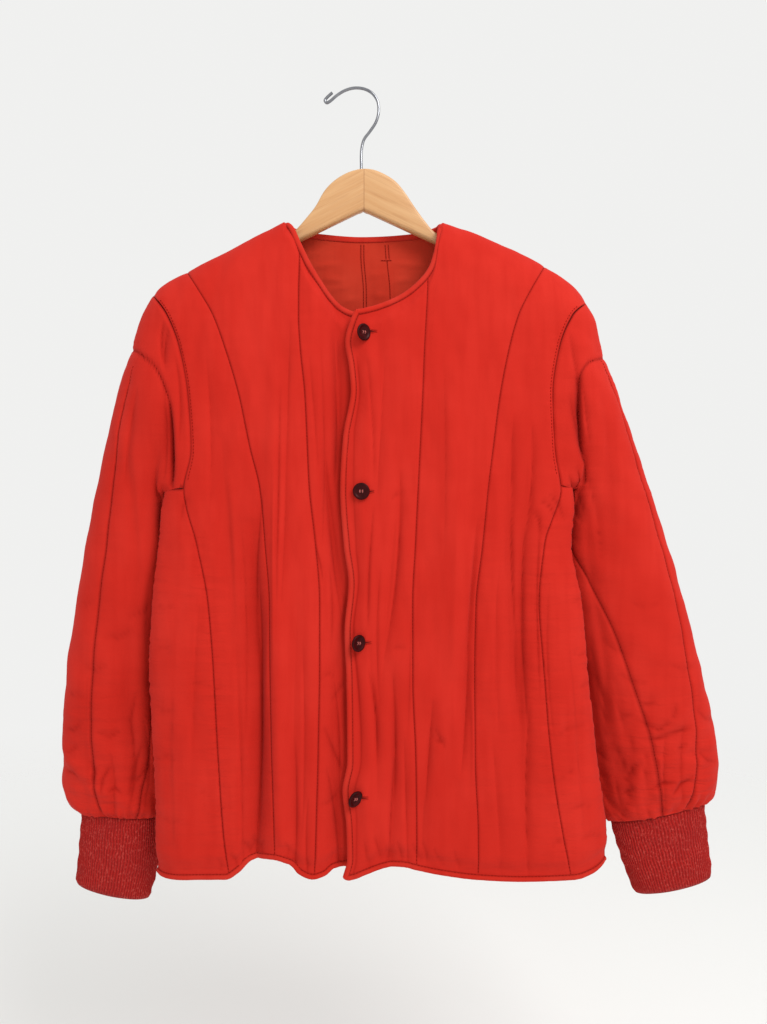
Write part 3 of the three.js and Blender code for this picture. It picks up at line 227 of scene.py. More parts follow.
# Rings of the sleeves and cuffs from the shoulder down, as in the part's source
RING_COLUMNS = "place out_x out_z out_y in_x in_z in_y front back"
SLEEVE = {
    "right": table(RING_COLUMNS, [
        (0, -214, -231, 0, -200, -440, -12, 27, 17), (1, -227, -253, 0, -209, -436, -9, 28, 18),
        (2, -238, -288, 1, -212, -446, -3, 28, 20), (3, -256, -345, 3, -211, -470, 4, 27, 21),
        (4, -272, -414, 5, -209, -505, 9, 27, 22), (5, -286, -480, 6, -211, -548, 12, 27, 22),
        (6, -300, -562, 7, -219, -606, 13, 27, 22), (7, -311, -638, 7, -219, -664, 14, 27, 22),
        (8, -316, -705, 8, -216, -720, 14, 26, 22), (9, -316, -752, 8, -212, -764, 14, 26, 22),
        (10, -311, -780, 8, -212, -788, 13, 23, 20), (11, -299, -791, 8, -217, -800, 12, 16, 14),
    ]),
    "left": table(RING_COLUMNS, [
        (0, 250, -241, 0, 233, -436, -12, 27, 17), (1, 258, -256, 0, 242, -432, -9, 28, 18),
        (2, 268, -292, 1, 244, -442, -3, 28, 20), (3, 289, -349, 3, 239, -466, 4, 27, 21),
        (4, 312, -416, 5, 235, -503, 9, 27, 22), (5, 334, -482, 6, 240, -548, 12, 27, 22),
        (6, 358, -562, 7, 251, -610, 13, 27, 22), (7, 376, -634, 7, 257, -668, 14, 27, 22),
        (8, 391, -698, 8, 263, -724, 14, 26, 22), (9, 397, -744, 8, 269, -766, 14, 26, 22),
        (10, 394, -769, 8, 276, -790, 13, 23, 20), (11, 385, -782, 8, 287, -805, 12, 16, 14),
    ]),
}
CUFF = {
    "right": table(RING_COLUMNS, [
        (0, -299, -791, 8, -217, -800, 12, 16, 14), (1, -302, -832, 8, -220, -846, 12, 17, 15),
        (2, -306, -874, 8, -230, -893, 12, 16, 14),
    ]),
    "left": table(RING_COLUMNS, [
        (0, 385, -782, 8, 287, -805, 12, 16, 14), (1, 389, -824, 8, 299, -846, 12, 17, 15),
        (2, 394, -867, 8, 314, -887, 12, 16, 14),
    ]),
}
QUILT = {
    "right": table("ring first second", [
        (0, 0.1, 0.86), (1, 0.16, 0.86), (2, 0.23, 0.86), (3, 0.29, 0.86), (4, 0.335, 0.86),
        (5, 0.365, 0.86), (6, 0.385, 0.86), (8, 0.4, 0.8),
        (9, 0.41, 0.72), (11, 0.43, 0.66),
    ]),
    "left": table("ring first second", [
        (0, 0.12, 0.8), (2, 0.13, 0.86), (4, 0.16, 0.84), (5, 0.17, 0.73), (6, 0.19, 0.63), (7, 0.23, 0.57),
        (8, 0.27, 0.525), (9, 0.31, 0.515), (11, 0.35, 0.5),
    ]),
}

# Creases of the sleeves: the rings they run between and their places round the front half,
# or round the back half where side is 1
CREASE_COLUMNS = "from_ring to_ring high low width depth side"
SLEEVE_CREASES = {
    "right": table(CREASE_COLUMNS, [
        (0.5, 4.2, 0.62, 0.9, 0.09, 3, 0), (5.5, 9.5, 0.62, 0.66, 0.08, 4, 0),
        (0.9, 4.4, 0.70, 0.92, 0.035, 2, 0), (2.0, 5.0, 0.36, 0.62, 0.05, 1.8, 0),
        (3.0, 6.5, 0.5, 0.74, 0.04, 1.6, 0), (7.0, 10.4, 0.3, 0.36, 0.05, 1.4, 0),
        (8.2, 10.8, 0.56, 0.5, 0.04, 1.8, 0), (8.6, 10.9, 0.78, 0.84, 0.04, 1.8, 0),
        (0.5, 4.2, 0.60, 0.88, 0.09, 7, 1), (3.0, 7.5, 0.42, 0.58, 0.05, 2.4, 1),
        (5.8, 9.6, 0.7, 0.6, 0.05, 2.6, 1), (7.8, 10.8, 0.3, 0.36, 0.05, 2.0, 1),
        (8.4, 10.9, 0.8, 0.72, 0.04, 1.8, 1),
    ]),
    "left": table(CREASE_COLUMNS, [
        (0.5, 4.2, 0.5, 0.86, 0.09, 3, 0), (6, 10.5, 0.86, 0.78, 0.08, 5, 0),
        (0.9, 4.6, 0.6, 0.9, 0.035, 2, 0), (2.2, 5.4, 0.36, 0.6, 0.05, 2.2, 0),
        (3.4, 6.4, 0.66, 0.74, 0.035, 2.2, 0), (5.4, 8.8, 0.7, 0.76, 0.03, 2.6, 0),
        (7.6, 10.2, 0.72, 0.66, 0.03, 2.8, 0), (8.6, 10.9, 0.9, 0.7, 0.03, 2.6, 0),
        (8.8, 10.9, 0.38, 0.42, 0.035, 2.0, 0), (9.0, 10.9, 0.58, 0.48, 0.03, 2.0, 0),
        (0.5, 4.2, 0.55, 0.88, 0.09, 7, 1), (3.2, 7.4, 0.4, 0.56, 0.05, 2.4, 1),
        (6.0, 9.8, 0.74, 0.64, 0.05, 2.6, 1), (7.6, 10.8, 0.26, 0.34, 0.05, 2.0, 1),
        (8.6, 10.9, 0.84, 0.76, 0.04, 1.8, 1),
    ]),
}
# Fine folds of the sleeves' front halves, in the same columns as the body's
SLEEVE_FOLDS = {
    "right": table(FOLD_COLUMNS, [
        (-194, -191, -190, -350, -440, 3.2, 9), (-199, -203, -199, -262, -310, 3.0, 2.8),
        (-192, -199, -198, -264, -318, 2.6, 2.2), (-200, -197, -199, -330, -430, 3.0, 2.5),
        (-188, -183, -184, -300, -390, 3.0, 2.0), (-206, -214, -206, -420, -500, 3.5, 3.0),
        (-226, -236, -244, -330, -440, 4.0, 1.6), (-220, -229, -228, -520, -640, 4.0, 1.8),
        (-232, -226, -230, -690, -790, 3.0, 2.4), (-244, -240, -246, -700, -795, 3.0, 2.2),
        (-262, -258, -260, -720, -795, 3.0, 1.8), (-284, -288, -284, -640, -760, 4.0, 1.4),
    ]),
    "left": table(FOLD_COLUMNS, [
        (239, 240, 246, -318, -412, 3.2, 9), (228, 235, 240, -274, -346, 3.0, 2.6),
        (242, 246, 251, -324, -392, 2.4, 2.2), (230, 237, 246, -340, -410, 2.6, 2.4),
        (227, 238, 250, -424, -478, 2.6, 4.5), (236, 246, 252, -416, -470, 2.6, 3.4),
        (224, 230, 246, -440, -500, 2.6, 3.0), (250, 262, 268, -420, -520, 4.0, 1.8),
        (262, 268, 276, -600, -690, 3.5, 1.8), (282, 292, 300, -640, -740, 3.0, 1.8),
        (300, 304, 298, -700, -790, 3.0, 2.6), (318, 316, 322, -716, -795, 3.0, 2.4),
        (336, 334, 338, -700, -790, 3.0, 2.0), (356, 352, 356, -690, -780, 3.0, 1.6),
        (288, 290, 298, -730, -800, 2.6, 2.4),
    ]),
}
# The seam across each sleeve's head
HEAD_SEAM = {
    "right": table("x z", [
        (-262, -282), (-246, -287), (-232, -292), (-221, -300), (-209, -311), (-200, -329), (-193, -353),
        (-191, -393), (-192, -434),
    ]),
    "left": table("x z", [
        (292, -286), (278, -293), (266, -299), (249, -306), (241, -320), (240, -345), (241.5, -388),
        (247, -409), (250, -432),
    ]),
}
# Short wrinkles of the sleeves and of the fronts, each through three places
WRINKLE_COLUMNS = "x0 z0 x1 z1 x2 z2 width depth"
SLEEVE_WRINKLES = {
    "left": table(WRINKLE_COLUMNS, [
        (259, -627, 260, -643, 256, -675, 2.4, 2.6), (268, -641, 276, -670, 278, -713, 2.6, 2.8),
        (264, -700, 266, -722, 281, -768, 2.2, 2.4), (263, -720, 272, -728, 282, -738, 2.2, 1.8),
        (288, -689, 295, -684, 303, -680, 2.4, 1.6), (287, -717, 295, -736, 300, -751, 2.4, 2.4),
        (310, -731, 301, -748, 297, -758, 2.4, 2.6), (308, -669, 317, -671, 326, -667, 3.0, 1.5),
        (316, -712, 338, -704, 364, -696, 2.4, 3.0), (306, -688, 329, -699, 341, -688, 3.0, 2.2),
        (341, -688, 345, -680, 346, -670, 3.0, 1.8), (346, -721, 353, -717, 359, -714, 2.4, 1.8),
        (322, -763, 333, -757, 347, -755, 2.2, 2.6), (343, -769, 351, -758, 366, -750, 2.2, 2.8),
        (294, -771, 300, -767, 305, -762, 2.2, 2.2), (368, -676, 380, -690, 392, -694, 3.0, 1.6),
        (372, -724, 381, -734, 392, -738, 3.0, 1.8), (262, -742, 270, -752, 282, -756, 2.6, 1.8),
        (270, -600, 282, -612, 296, -616, 4.0, 1.3), (286, -636, 300, -646, 318, -648, 4.0, 1.3),
        (296, -560, 310, -566, 330, -562, 4.0, 1.0), (336, -626, 352, -634, 372, -632, 4.0, 1.1),
    ]),
    "right": table(WRINKLE_COLUMNS, [
        (-226, -632, -228, -652, -222, -680, 2.6, 2.0), (-238, -660, -244, -690, -240, -722, 2.6, 2.2),
        (-232, -716, -240, -742, -244, -772, 2.2, 2.2), (-252, -700, -262, -706, -276, -702, 2.6, 1.9),
        (-262, -738, -270, -752, -271, -768, 2.4, 2.4), (-284, -730, -278, -746, -280, -760, 2.4, 2.2),
        (-290, -690, -300, -700, -312, -702, 3.0, 1.8), (-286, -664, -296, -660, -308, -664, 3.4, 1.4),
        (-294, -752, -302, -746, -311, -748, 2.4, 2.2), (-250, -768, -258, -762, -264, -765, 2.2, 2.0),
        (-224, -742, -232, -748, -238, -758, 2.4, 1.8), (-262, -628, -276, -634, -290, -630, 4.0, 1.2),
        (-240, -590, -254, -600, -268, -598, 4.0, 1.2), (-276, -560, -288, -566, -298, -562, 4.0, 0.9),
        (-222, -560, -230, -572, -246, -578, 4.0, 1.2), (-296, -716, -304, -724, -313, -722, 3.0, 1.6),
    ]),
}
FRONT_WRINKLES = table(WRINKLE_COLUMNS, [
    (213, -698, 224, -690, 242, -688, 3.0, 1.3), (214, -742, 226, -735, 234, -737, 2.6, 1.2),
    (228, -560, 238, -556, 246, -560, 3.0, 1.1), (226, -610, 236, -616, 248, -612, 3.0, 1.1),
    (232, -652, 242, -646, 252, -650, 3.0, 1.2), (222, -776, 236, -770, 248, -774, 2.8, 1.3),
    (236, -806, 246, -800, 258, -806, 2.8, 1.2), (206, -812, 214, -806, 224, -810, 2.6, 1.1),
    (82, -699, 90, -704, 98, -702, 2.2, 1.8), (-206, -560, -196, -566, -184, -562, 3.0, 1.1),
    (-208, -612, -196, -606, -186, -610, 3.0, 1.1), (-206, -668, -194, -674, -182, -670, 3.0, 1.2),
    (-204, -726, -192, -720, -182, -724, 2.8, 1.2), (-200, -782, -188, -788, -176, -784, 2.8, 1.2),
    (-172, -640, -162, -644, -152, -640, 2.8, 0.9), (-166, -760, -156, -756, -146, -760, 2.8, 0.9),
    (-116, -806, -110, -812, -104, -824, 2.4, 1.6), (-128, -818, -122, -826, -120, -836, 2.4, 1.3),
    (34, -812, 38, -820, 36, -830, 2.2, 1.5), (62, -808, 66, -818, 72, -828, 2.4, 1.5),
    (84, -812, 88, -822, 96, -832, 2.4, 1.3), (150, -822, 154, -830, 152, -840, 2.4, 1.1),
    (-70, -806, -66, -814, -68, -824, 2.4, 1.2), (196, -452, 206, -458, 214, -470, 2.6, 2.2),
    (190, -462, 196, -474, 198, -492, 2.6, 2.0), (206, -446, 216, -456, 222, -474, 2.6, 2.2),
    (-172, -448, -178, -458, -180, -474, 2.8, 1.6), (40, -452, 46, -446, 56, -444, 2.6, 1.2),
    (36, -610, 46, -606, 58, -608, 2.6, 1.0), (-32, -689, -21, -720, -10, -739, 2.6, 2.4),
    (-25, -665, -16, -652, -7, -643, 2.6, 1.5), (-39, -773, -26, -768, -12, -757, 2.6, 1.3),
    (-36, -640, -28, -634, -18, -640, 2.6, 1.1), (22, -800, 26, -812, 30, -826, 2.2, 1.6),
    (46, -806, 50, -816, 52, -828, 2.2, 1.7), (72, -806, 76, -816, 78, -830, 2.2, 1.4),
    (12, -806, 14, -820, 20, -836, 2.2, 1.3), (104, -814, 108, -824, 112, -836, 2.2, 1.2),
    (-92, -806, -96, -814, -94, -822, 2.2, 1.4), (-104, -800, -102, -810, -108, -820, 2.2, 1.4),
    (-50, -822, -46, -830, -48, -838, 2.2, 1.1), (-140, -822, -136, -832, -138, -840, 2.2, 1.0),
])

# Rings of the sleeve, and keys round the armhole: from the tip of the shoulder down to the armpit, then along
# the strip under the arm to the side seam
HEAD_RING = 2.0  # where the sleeve's quilting lines start
LAST_RING = 11.0
HEAD_SOFTNESS = 0.5  # factor on distances from the head's seam, which is wider than a quilting line
LOOP_KEYS = [0, 0.02, 0.07, 0.17, 0.34, 0.54, 0.77, 1]  # shares of the way down to the armpit
FIRST_KEY, SECOND_KEY, STRIP_KEY, INNER_KEY = 3, 7, 7, 10
STRIP_COLUMNS = [3, 3.3, 3.64, 4]
# Rings over which the sleeve leaves the armhole's shape, its lines settle and its fine folds begin
ARMHOLE_RINGS, SETTLED_RINGS, FOLD_RINGS = 3.2, 3, 0.35
GATHERS = (9.3, 1.7)  # first ring of the gathers above the cuff, and the rings over which they grow
ROUND_LENGTH, SHORTENING = 0.8, 0.62  # of distances round the sleeve, against a half circle's

# The top of the hanger's middle and the line of its hook, as x and z
WOOD_CROWN = [
    (-80, -163), (-70, -160), (-61, -152), (-52, -141.5), (-42, -129), (-33, -113), (-23, -102),
    (-8, -92.5), (8, -88), (22, -89), (35, -94.5), (46, -102), (56, -114), (66, -129), (78, -145.5),
    (88, -157), (100, -162.5),
]
HOOK_LINE = [
    (8, -108), (8, -84), (8.3, -66), (11, -55), (17.5, -46), (24, -36), (27, -25), (26, -13), (20, -4),
    (11, 0.8), (0, 1.75), (-10, -1), (-19, -6.5), (-26, -12.5), (-30, -14.5), (-32, -12),
    (-29.5, -8.5), (-24, -3.5),
]
BUTTON_PLACES = [(13, -273), (10, -443), (7, -601), (4, -761)]


# Small maths
def read(rows, key, column, at):
    """Smooth reading of one column of a table by another, with no overshoot."""
    x, y = rows[key], rows[column]
    if x[-1] < x[0]:
        x, y = x[::-1], y[::-1]
    at = np.clip(np.asarray(at, float), x[0], x[-1])
    i = np.clip(np.searchsorted(x, at, side="right") - 1, 0, len(x) - 2)
    h = np.diff(x)
    slope = np.diff(y) / h
    before, after = slope[:-1], slope[1:]
    same = before * after > 0
    inner = np.where(same, 2 * before * after / np.where(same, before + after, 1), 0)
    tangent = np.concatenate([slope[:1], inner, slope[-1:]])
    t = (at - x[i]) / h[i]
    return ((2 * t**3 - 3 * t**2 + 1) * y[i] + (t**3 - 2 * t**2 + t) * h[i] * tangent[i]
            + (3 * t**2 - 2 * t**3) * y[i + 1] + (t**3 - t**2) * h[i] * tangent[i + 1])


def mix(a, b, t):
    return a + (b - a) * t


def ease(t):
    t = np.clip(t, 0, 1)
    return t * t * (3 - 2 * t)


def lower_part(top, reach, z):
    """0 above a height, 1 from reach below it, and easy in between."""
    return ease((top - z) / reach)


def round_over(distance, reach):
    return np.sqrt(1 - (1 - np.clip(distance / reach, 0, 1)) ** 2)


def bell(distance, width):
    return np.exp(-((distance / width) ** 2))


def ripple(seed, *axes):
    """Smooth uneven waves between about -1 and 1. Each axis is a (coordinate, wavelength) pair."""
    local = np.random.default_rng(seed)
    total = 0
    for _ in range(7):
        phase = local.uniform(0, 2 * math.pi)
        for coordinate, wavelength in axes:
            phase = phase + coordinate * (2 * math.pi / wavelength) * local.uniform(0.55, 1.6) \
                * local.choice((-1, 1))
        total = total + np.sin(phase)
    return total / 3.2


def spread(start, end, count, bunching=0.5):
    """Count + 1 values from start to end, closer together near both ends."""
    s = np.linspace(0, 1, count + 1)
    return mix(start, end, s - bunching * np.sin(2 * math.pi * s) / (2 * math.pi))


def unit(vectors):
    return vectors / np.maximum(np.linalg.norm(vectors, axis=-1, keepdims=True), 1e-9)


# The body's form
def column_x(side, column, z, is_back):
    if is_back:
        free = CENTRE_BACK
    elif side == "right":
        free = UNDERLAP["free_x"]
    else:
        free = read(OVER_EDGE, "z", "x", z)
    lines = LINES[side]
    stations = [free] + [read(lines, "z", name, z) for name in ("inner", "outer", "arm", "side")]
    stations = np.stack(np.broadcast_arrays(*stations, np.zeros_like(column * z))[:5])
    column = np.broadcast_to(column, stations.shape[1:])
    i = np.minimum(3, np.floor(column)).astype(int)
    low = np.take_along_axis(stations, i[None], 0)[0]
    high = np.take_along_axis(stations, i[None] + 1, 0)[0]
    return mix(low, high, column - i)


def sign_of(side):
    return -1 if side == "right" else 1


def shoulder_end(side, i):
    return SHOULDER[side]["x"][i], SHOULDER[side]["z"][i]


def corner_of(side):
    return shoulder_end(side, -1 if side == "right" else 0)


def tip_of(side):
    return shoulder_end(side, 0 if side == "right" else -1)


def outline_z(side, x, is_back):
    on_shoulder = sign_of(side) * (x - corner_of(side)[0]) >= 0
    neck = NECK["back" if is_back else side]
    return np.where(on_shoulder, read(SHOULDER[side], "x", "z", x), read(neck, "x", "z", x))


def ridge_z(side, x):
    corner_x, corner_z = corner_of(side)
    inside = sign_of(side) * (corner_x - x)
    return np.where(inside > 0, corner_z + 0.5 * np.clip(inside, 0, 80),
                    read(SHOULDER[side], "x", "z", x))


def top_points(side, columns, is_back):
    z = np.full(len(columns), tip_of(side)[1])
    for _ in range(60):
        x = column_x(side, columns, z, is_back)
        z = mix(z, outline_z(side, x, is_back), 0.5)
    for column, (px, pz) in ((NECK_CORNER, corner_of(side)), (ARMHOLE_COLUMN, tip_of(side))):
        at = np.isclose(columns, column)
        x, z = np.where(at, px, x), np.where(at, pz, z)
    return x, z


def crease_shape(distance, width, crisp, gentle_side):
    """One across a fold's middle: a round trough and a sharp line with one gentle and one steep side."""
    reach = np.where(distance * gentle_side > 0, 1.5 * width, 0.45 * width)
    return (1 - crisp) * bell(distance, width) + crisp * np.exp(-np.abs(distance) / reach)


def each_fold(folds, x, z):
    """For each fold: the way along it, the distance from its middle, its gentle side, width and depth."""
    for number, (high_x, middle_x, low_x, high_z, low_z, width, depth) in enumerate(zip(*folds.values())):
        along = np.clip((z - high_z) / (low_z - high_z), 0, 1)
        middle = ((1 - along) * (1 - 2 * along) * high_x + 4 * along * (1 - along) * middle_x
                  + along * (2 * along - 1) * low_x)
        yield along, x - middle, GENTLE_SIDES[number % len(GENTLE_SIDES)], width, depth


def fold_depth(folds, x, z, bluntness=0.6, crisp=0.0):
    total = 0
    for along, away, gentle_side, width, depth in each_fold(folds, x, z):
        shape = crease_shape(away, width, crisp if depth > 0 else 0, gentle_side)
        total = total + depth * shape * np.sin(math.pi * along) ** bluntness
    return total


def broad_depth(x, z, is_back):
    return fold_depth(FOLDS_BACK if is_back else FOLDS_FRONT, x, z, crisp=CRISP["broad"])


def painted_crease_shade(folds, x, z):
    """Painted shade of the folds on the cloth: a thin dark line at each one's bottom and a veil on its gentle
    side.
    """
    total = 0
    for along, away, gentle_side, width, depth in each_fold(folds, x, z):
        if depth > 0:
            veil = np.where(away * gentle_side > 0, np.exp(-np.abs(away) / (VEIL_WIDTH * width)), 0)
            shape = LINE_SHARE * bell(away, LINE_WIDTH) + (1 - LINE_SHARE) * veil
            total = total + min(depth / FULL_DEPTH, DARKEST) * shape * np.sin(math.pi * along) ** 0.55
    return total


def wrinkles(rows, x, z):
    """Depth of short wrinkles through three places each, and the painted shade that they put on the cloth."""
    depth, dark = 0 * x, 0 * x
    for x0, z0, x1, z1, x2, z2, width, deep in zip(*rows.values()):
        away, along = np.full_like(depth, 1e3), np.zeros_like(depth)
        for number, (ax, az, bx, bz) in enumerate(((x0, z0, x1, z1), (x1, z1, x2, z2))):
            length = math.hypot(bx - ax, bz - az)
            t = np.clip(((x - ax) * (bx - ax) + (z - az) * (bz - az)) / length**2, 0, 1)
            distance = np.hypot(x - mix(ax, bx, t), z - mix(az, bz, t))
            nearer = distance < away
            away = np.where(nearer, distance, away)
            along = np.where(nearer, (t + number) / 2, along)
        fading = np.sin(math.pi * np.clip(along, 0, 1)) ** 0.6
        slope = np.exp(-away / width)
        depth = depth + deep * slope * fading
        dark = dark + min(deep / FULL_DEPTH, 1) * (0.55 * bell(away, 1.2) + 0.45 * slope) * fading
    return depth, dark


def from_tape_crease(from_edge, z):
    """Distance from the crease that wanders beside the over front's tape."""
    return from_edge - TAPE_CREASE - 2.5 * np.sin(z / 41)


def fine_depth(side, x, z, is_back):
    """The fine creases, and on the under front the dark gap along the edge of the over front."""
    depth = FINE_DEPTH * fold_depth(CREASES_BACK if is_back else CREASES_FRONT, x, z, 0.9, CRISP["fine"])
    if is_back:
        return depth
    depth = depth + wrinkles(FRONT_WRINKLES, x, z)[0]
    from_edge = x - read(OVER_EDGE, "z", "x", z)
    if side == "right":
        open_at = sum(bell(z - middle, reach) for middle, reach in GAPS)
        return depth + GAP_DEPTH * bell(from_edge + 2, 3) * np.minimum(open_at, 1)
    beside_tape = crease_shape(from_tape_crease(from_edge, z), 2.2, CRISP["fine"], 1)
    return depth + 1.7 * beside_tape * lower_part(CREASE_TOP, 30, z) * (0.6 + 0.4 * np.sin(z / 57))


def panel_y(side, x, z, is_back, folded=True):
    """Depth of the cloth's inner face at a place on a front or on the back, with or without its folds."""
    under_ridge = ridge_z(side, x) - z
    below = round_over(under_ridge, BACK_RIDGE if is_back else FRONT_RIDGE)
    from_side = sign_of(side) * (read(LINES[side], "z", "side", z) - x)
    turning = lower_part(ARMPIT[side] + ARMHOLE_TURN, ARMHOLE_TURN, z)
    across = mix(1, round_over(from_side, SIDE_RADIUS), turning)
    seam_y = read(HOLLOW, "z", "side", z) * turning
    fold = 0
    if folded:
        broad, fine = (ease(under_ridge / down) * ease(from_side / inwards + (1 - turning))
                       for down, inwards in (BROAD_FADING, FINE_FADING))
        fold = broad_depth(x, z, is_back) * broad + fine_depth(side, x, z, is_back) * fine
    if folded and is_back:
        for middle_x, middle_z, half_length, rise, depth in LINING_WRINKLES:
            away = x - middle_x
            fold = fold + depth * bell(z - middle_z - rise * away, WRINKLE_HEIGHT) * bell(away, half_length)
    if is_back:
        return mix(seam_y, read(HOLLOW, "z", "back", z) - fold, below * across)
    front = mix(seam_y, fold - read(HOLLOW, "z", "front", z), below * across)
    if side == "left":
        return front - OVERLAP["lift"] * ease((OVERLAP["start_x"] - x) / OVERLAP["reach"])
    return front + UNDERLAP["step"] * ease((x - UNDERLAP["start_x"]) / UNDERLAP["reach"])


class Sheet:
    """Inner points with a wall at each, faces between them, and numbers kept for the materials."""

    def __init__(self, index, points, form, walls, faces, outward, **marks):
        """The wall stands on the points, along the normals of the same points without their folds."""
        self.index, self.points, self.walls, self.faces = index, points, walls, faces
        self.marks = marks
        normals = np.zeros_like(points)
        a, b, c, d = (form[faces[:, k]] for k in range(4))
        square = np.cross(c - a, d - b)
        for k in range(4):
            np.add.at(normals, faces[:, k], square)
        if (normals * outward).sum() < 0:
            self.faces = faces[:, ::-1]
            normals *= -1
        self.normals = unit(normals)

    def outer(self):
        return self.points + self.normals * self.walls[:, None]

    def rim(self):
        loops = np.concatenate([self.faces[:, [k, (k + 1) % 4]] for k in range(4)])
        known = set(map(tuple, loops))
        return [(a, b) for a, b in map(tuple, loops) if (b, a) not in known]

    def along(self, nodes):
        """Points, normals and walls along a line of nodes, without those that are missing."""
        nodes = nodes[nodes >= 0]
        return self.points[nodes], self.normals[nodes], self.walls[nodes]

    def outer_line(self, nodes, lift=0.15):
        points, normals, walls = self.along(nodes)
        return points + normals * (walls + lift)[:, None], normals


def grid_faces(index):
    a, b, c, d = index[:-1, :-1], index[1:, :-1], index[1:, 1:], index[:-1, 1:]
    quads = np.stack([a, b, c, d], -1).reshape(-1, 4)
    return quads[(quads >= 0).all(1)]


def channel_wall(distance):
    """Padding between lines of stitching, with a tight valley at the line itself."""
    rise = np.clip(distance / CHANNEL_RISE, 0, 1)
    padding = mix(VALLEY_SHARE * PADDED_WALL, PADDED_WALL, 1 - (1 - rise) ** 2)
    return padding - VALLEY_DEPTH * bell(distance, VALLEY_WIDTH)


def caught(side, x, z, wall, from_seam):
    """The wall with its padding falling to the seam, less where the armhole meets the shoulder's outline."""
    tip_x, tip_z = SHOULDER_TIPS[side]
    at_seam = mix(SEAM_WALL, TIP_WALL, bell(np.hypot(x - tip_x, z - tip_z), TIP_REACH))
    return mix(at_seam, wall, np.sqrt(ease(from_seam / SEAM_DIP + 0.02)))


def puckers(seed, distance, along, reach, wavelength):
    """Small creases that run off a line of stitching and die out away from it."""
    return ripple(seed, (along, wavelength), (distance, wavelength * 5)) * np.exp(-distance / reach) \
        * ease(distance / 1.6)


UPPER_ROWS, LOWER_ROWS = 82, 112
FRONT_COLUMNS = np.concatenate([
    spread(0, 1, 68, 0.3)[:-1], spread(1, NECK_CORNER, 8, 0)[:-1], spread(NECK_CORNER, 2, 54, 0.3)[:-1],
    spread(2, 3, 52, 0.35)[:-1], spread(3, 4, 40, 0.35),
])
BACK_COLUMNS = np.concatenate([
    spread(0, 1, 28, 0.35)[:-1], spread(1, NECK_CORNER, 5, 0)[:-1], spread(NECK_CORNER, 2, 28, 0.35)[:-1],
    spread(2, 3, 26, 0.35)[:-1], spread(3, 4, 24, 0.35),
])


def panel_places(side, columns, is_back):
    """Places by column and row, heights of the columns' tops and of the hem, and where there is no cloth."""
    top_x, top_z = top_points(side, columns, is_back)
    armpit = ARMPIT[side]
    hem_x = column_x(side, columns, np.full(len(columns), HEM_HEIGHT), is_back)
    hem_z = read(HEM["back" if is_back else side], "x", "z", hem_x)
    under_arm = columns > ARMHOLE_COLUMN + 1e-9
    start_z = np.where(under_arm, armpit, top_z)
    down = np.linspace(0, 1, UPPER_ROWS + 1) ** 1.15
    upper = mix(start_z[:, None], armpit, down[None, :])
    lower = mix(armpit, hem_z[:, None], np.linspace(0, 1, LOWER_ROWS + 1)[None, 1:])
    z = np.concatenate([upper, lower], 1)
    x = column_x(side, columns[:, None], z, is_back)
    x[:, 0] = np.where(under_arm, x[:, 0], top_x)
    missing = under_arm[:, None] & (np.arange(z.shape[1]) < UPPER_ROWS)[None, :]
    return x, z, start_z[:, None], hem_z[:, None], missing


def panel_distances(side, columns, x, z, start_z, hem_z, is_back):
    """Distances from the lines of stitching, the hem, the nearest tape and the nearest seam."""
    armpit = ARMPIT[side]
    line_x = [column_x(side, np.full_like(z, float(k)), z, is_back) for k in range(SIDE_COLUMN + 1)]
    widths = np.abs(np.diff(line_x, axis=0))
    channel = np.minimum(SIDE_COLUMN - 1, np.floor(columns)).astype(int)
    share = columns - channel
    width = widths[channel, np.arange(len(columns))]
    distance = np.minimum(share, 1 - share)[:, None] * width
    from_free = FAR
    if not is_back:
        from_free = np.abs(x - line_x[0])
        # The free edge is no line of stitching
        distance = np.where((columns < 0.5)[:, None], np.maximum(distance, width - distance), distance)
    from_hem = z - hem_z
    from_top = start_z - z
    taped_top = (columns < NECK_CORNER + 1e-9)[:, None]
    from_tape = np.minimum(np.minimum(from_free, from_hem), np.where(taped_top, from_top, FAR))
    at_armhole = (z > armpit - 1) & (columns <= ARMHOLE_COLUMN)[:, None]
    from_armhole = np.where(at_armhole, np.abs(ARMHOLE_COLUMN - columns)[:, None] * widths[2], FAR)
    from_side = np.where(z <= armpit + 1, (SIDE_COLUMN - columns)[:, None] * widths[3], FAR)
    from_seam = np.minimum(np.minimum(np.where(taped_top, FAR, from_top), from_armhole), from_side)
    return distance, from_hem, from_tape, from_seam


def panel_painted_shade(side, x, z, is_back):
    """Painted shade of the folds and wrinkles on a panel, from 0 to 1, and on the under front a painted
    shadow of the over front's edge.
    """
    crease = painted_crease_shade(CREASES_BACK if is_back else CREASES_FRONT, x, z)
    crease = crease + np.clip(broad_depth(x, z, is_back) - 2, 0, 12) / 24
    if not is_back:
        crease = crease + wrinkles(FRONT_WRINKLES, x, z)[1]
        from_edge = x - read(OVER_EDGE, "z", "x", z)
        if side == "left":
            # Painted shade in the crease beside the over front's tape
            line = from_tape_crease(from_edge, z)
            strength = lower_part(CREASE_TOP, 30, z) * (0.75 + 0.25 * np.sin(z / 57))
            crease = crease + strength * (0.9 * bell(line, LINE_WIDTH) + 0.3 * bell(line, 3.0))
        else:
            # Painted shadow that the over front's edge casts on the under front
            crease = crease + 0.4 * bell(from_edge + 1, 2.0)
    return np.clip(crease, 0, 1)


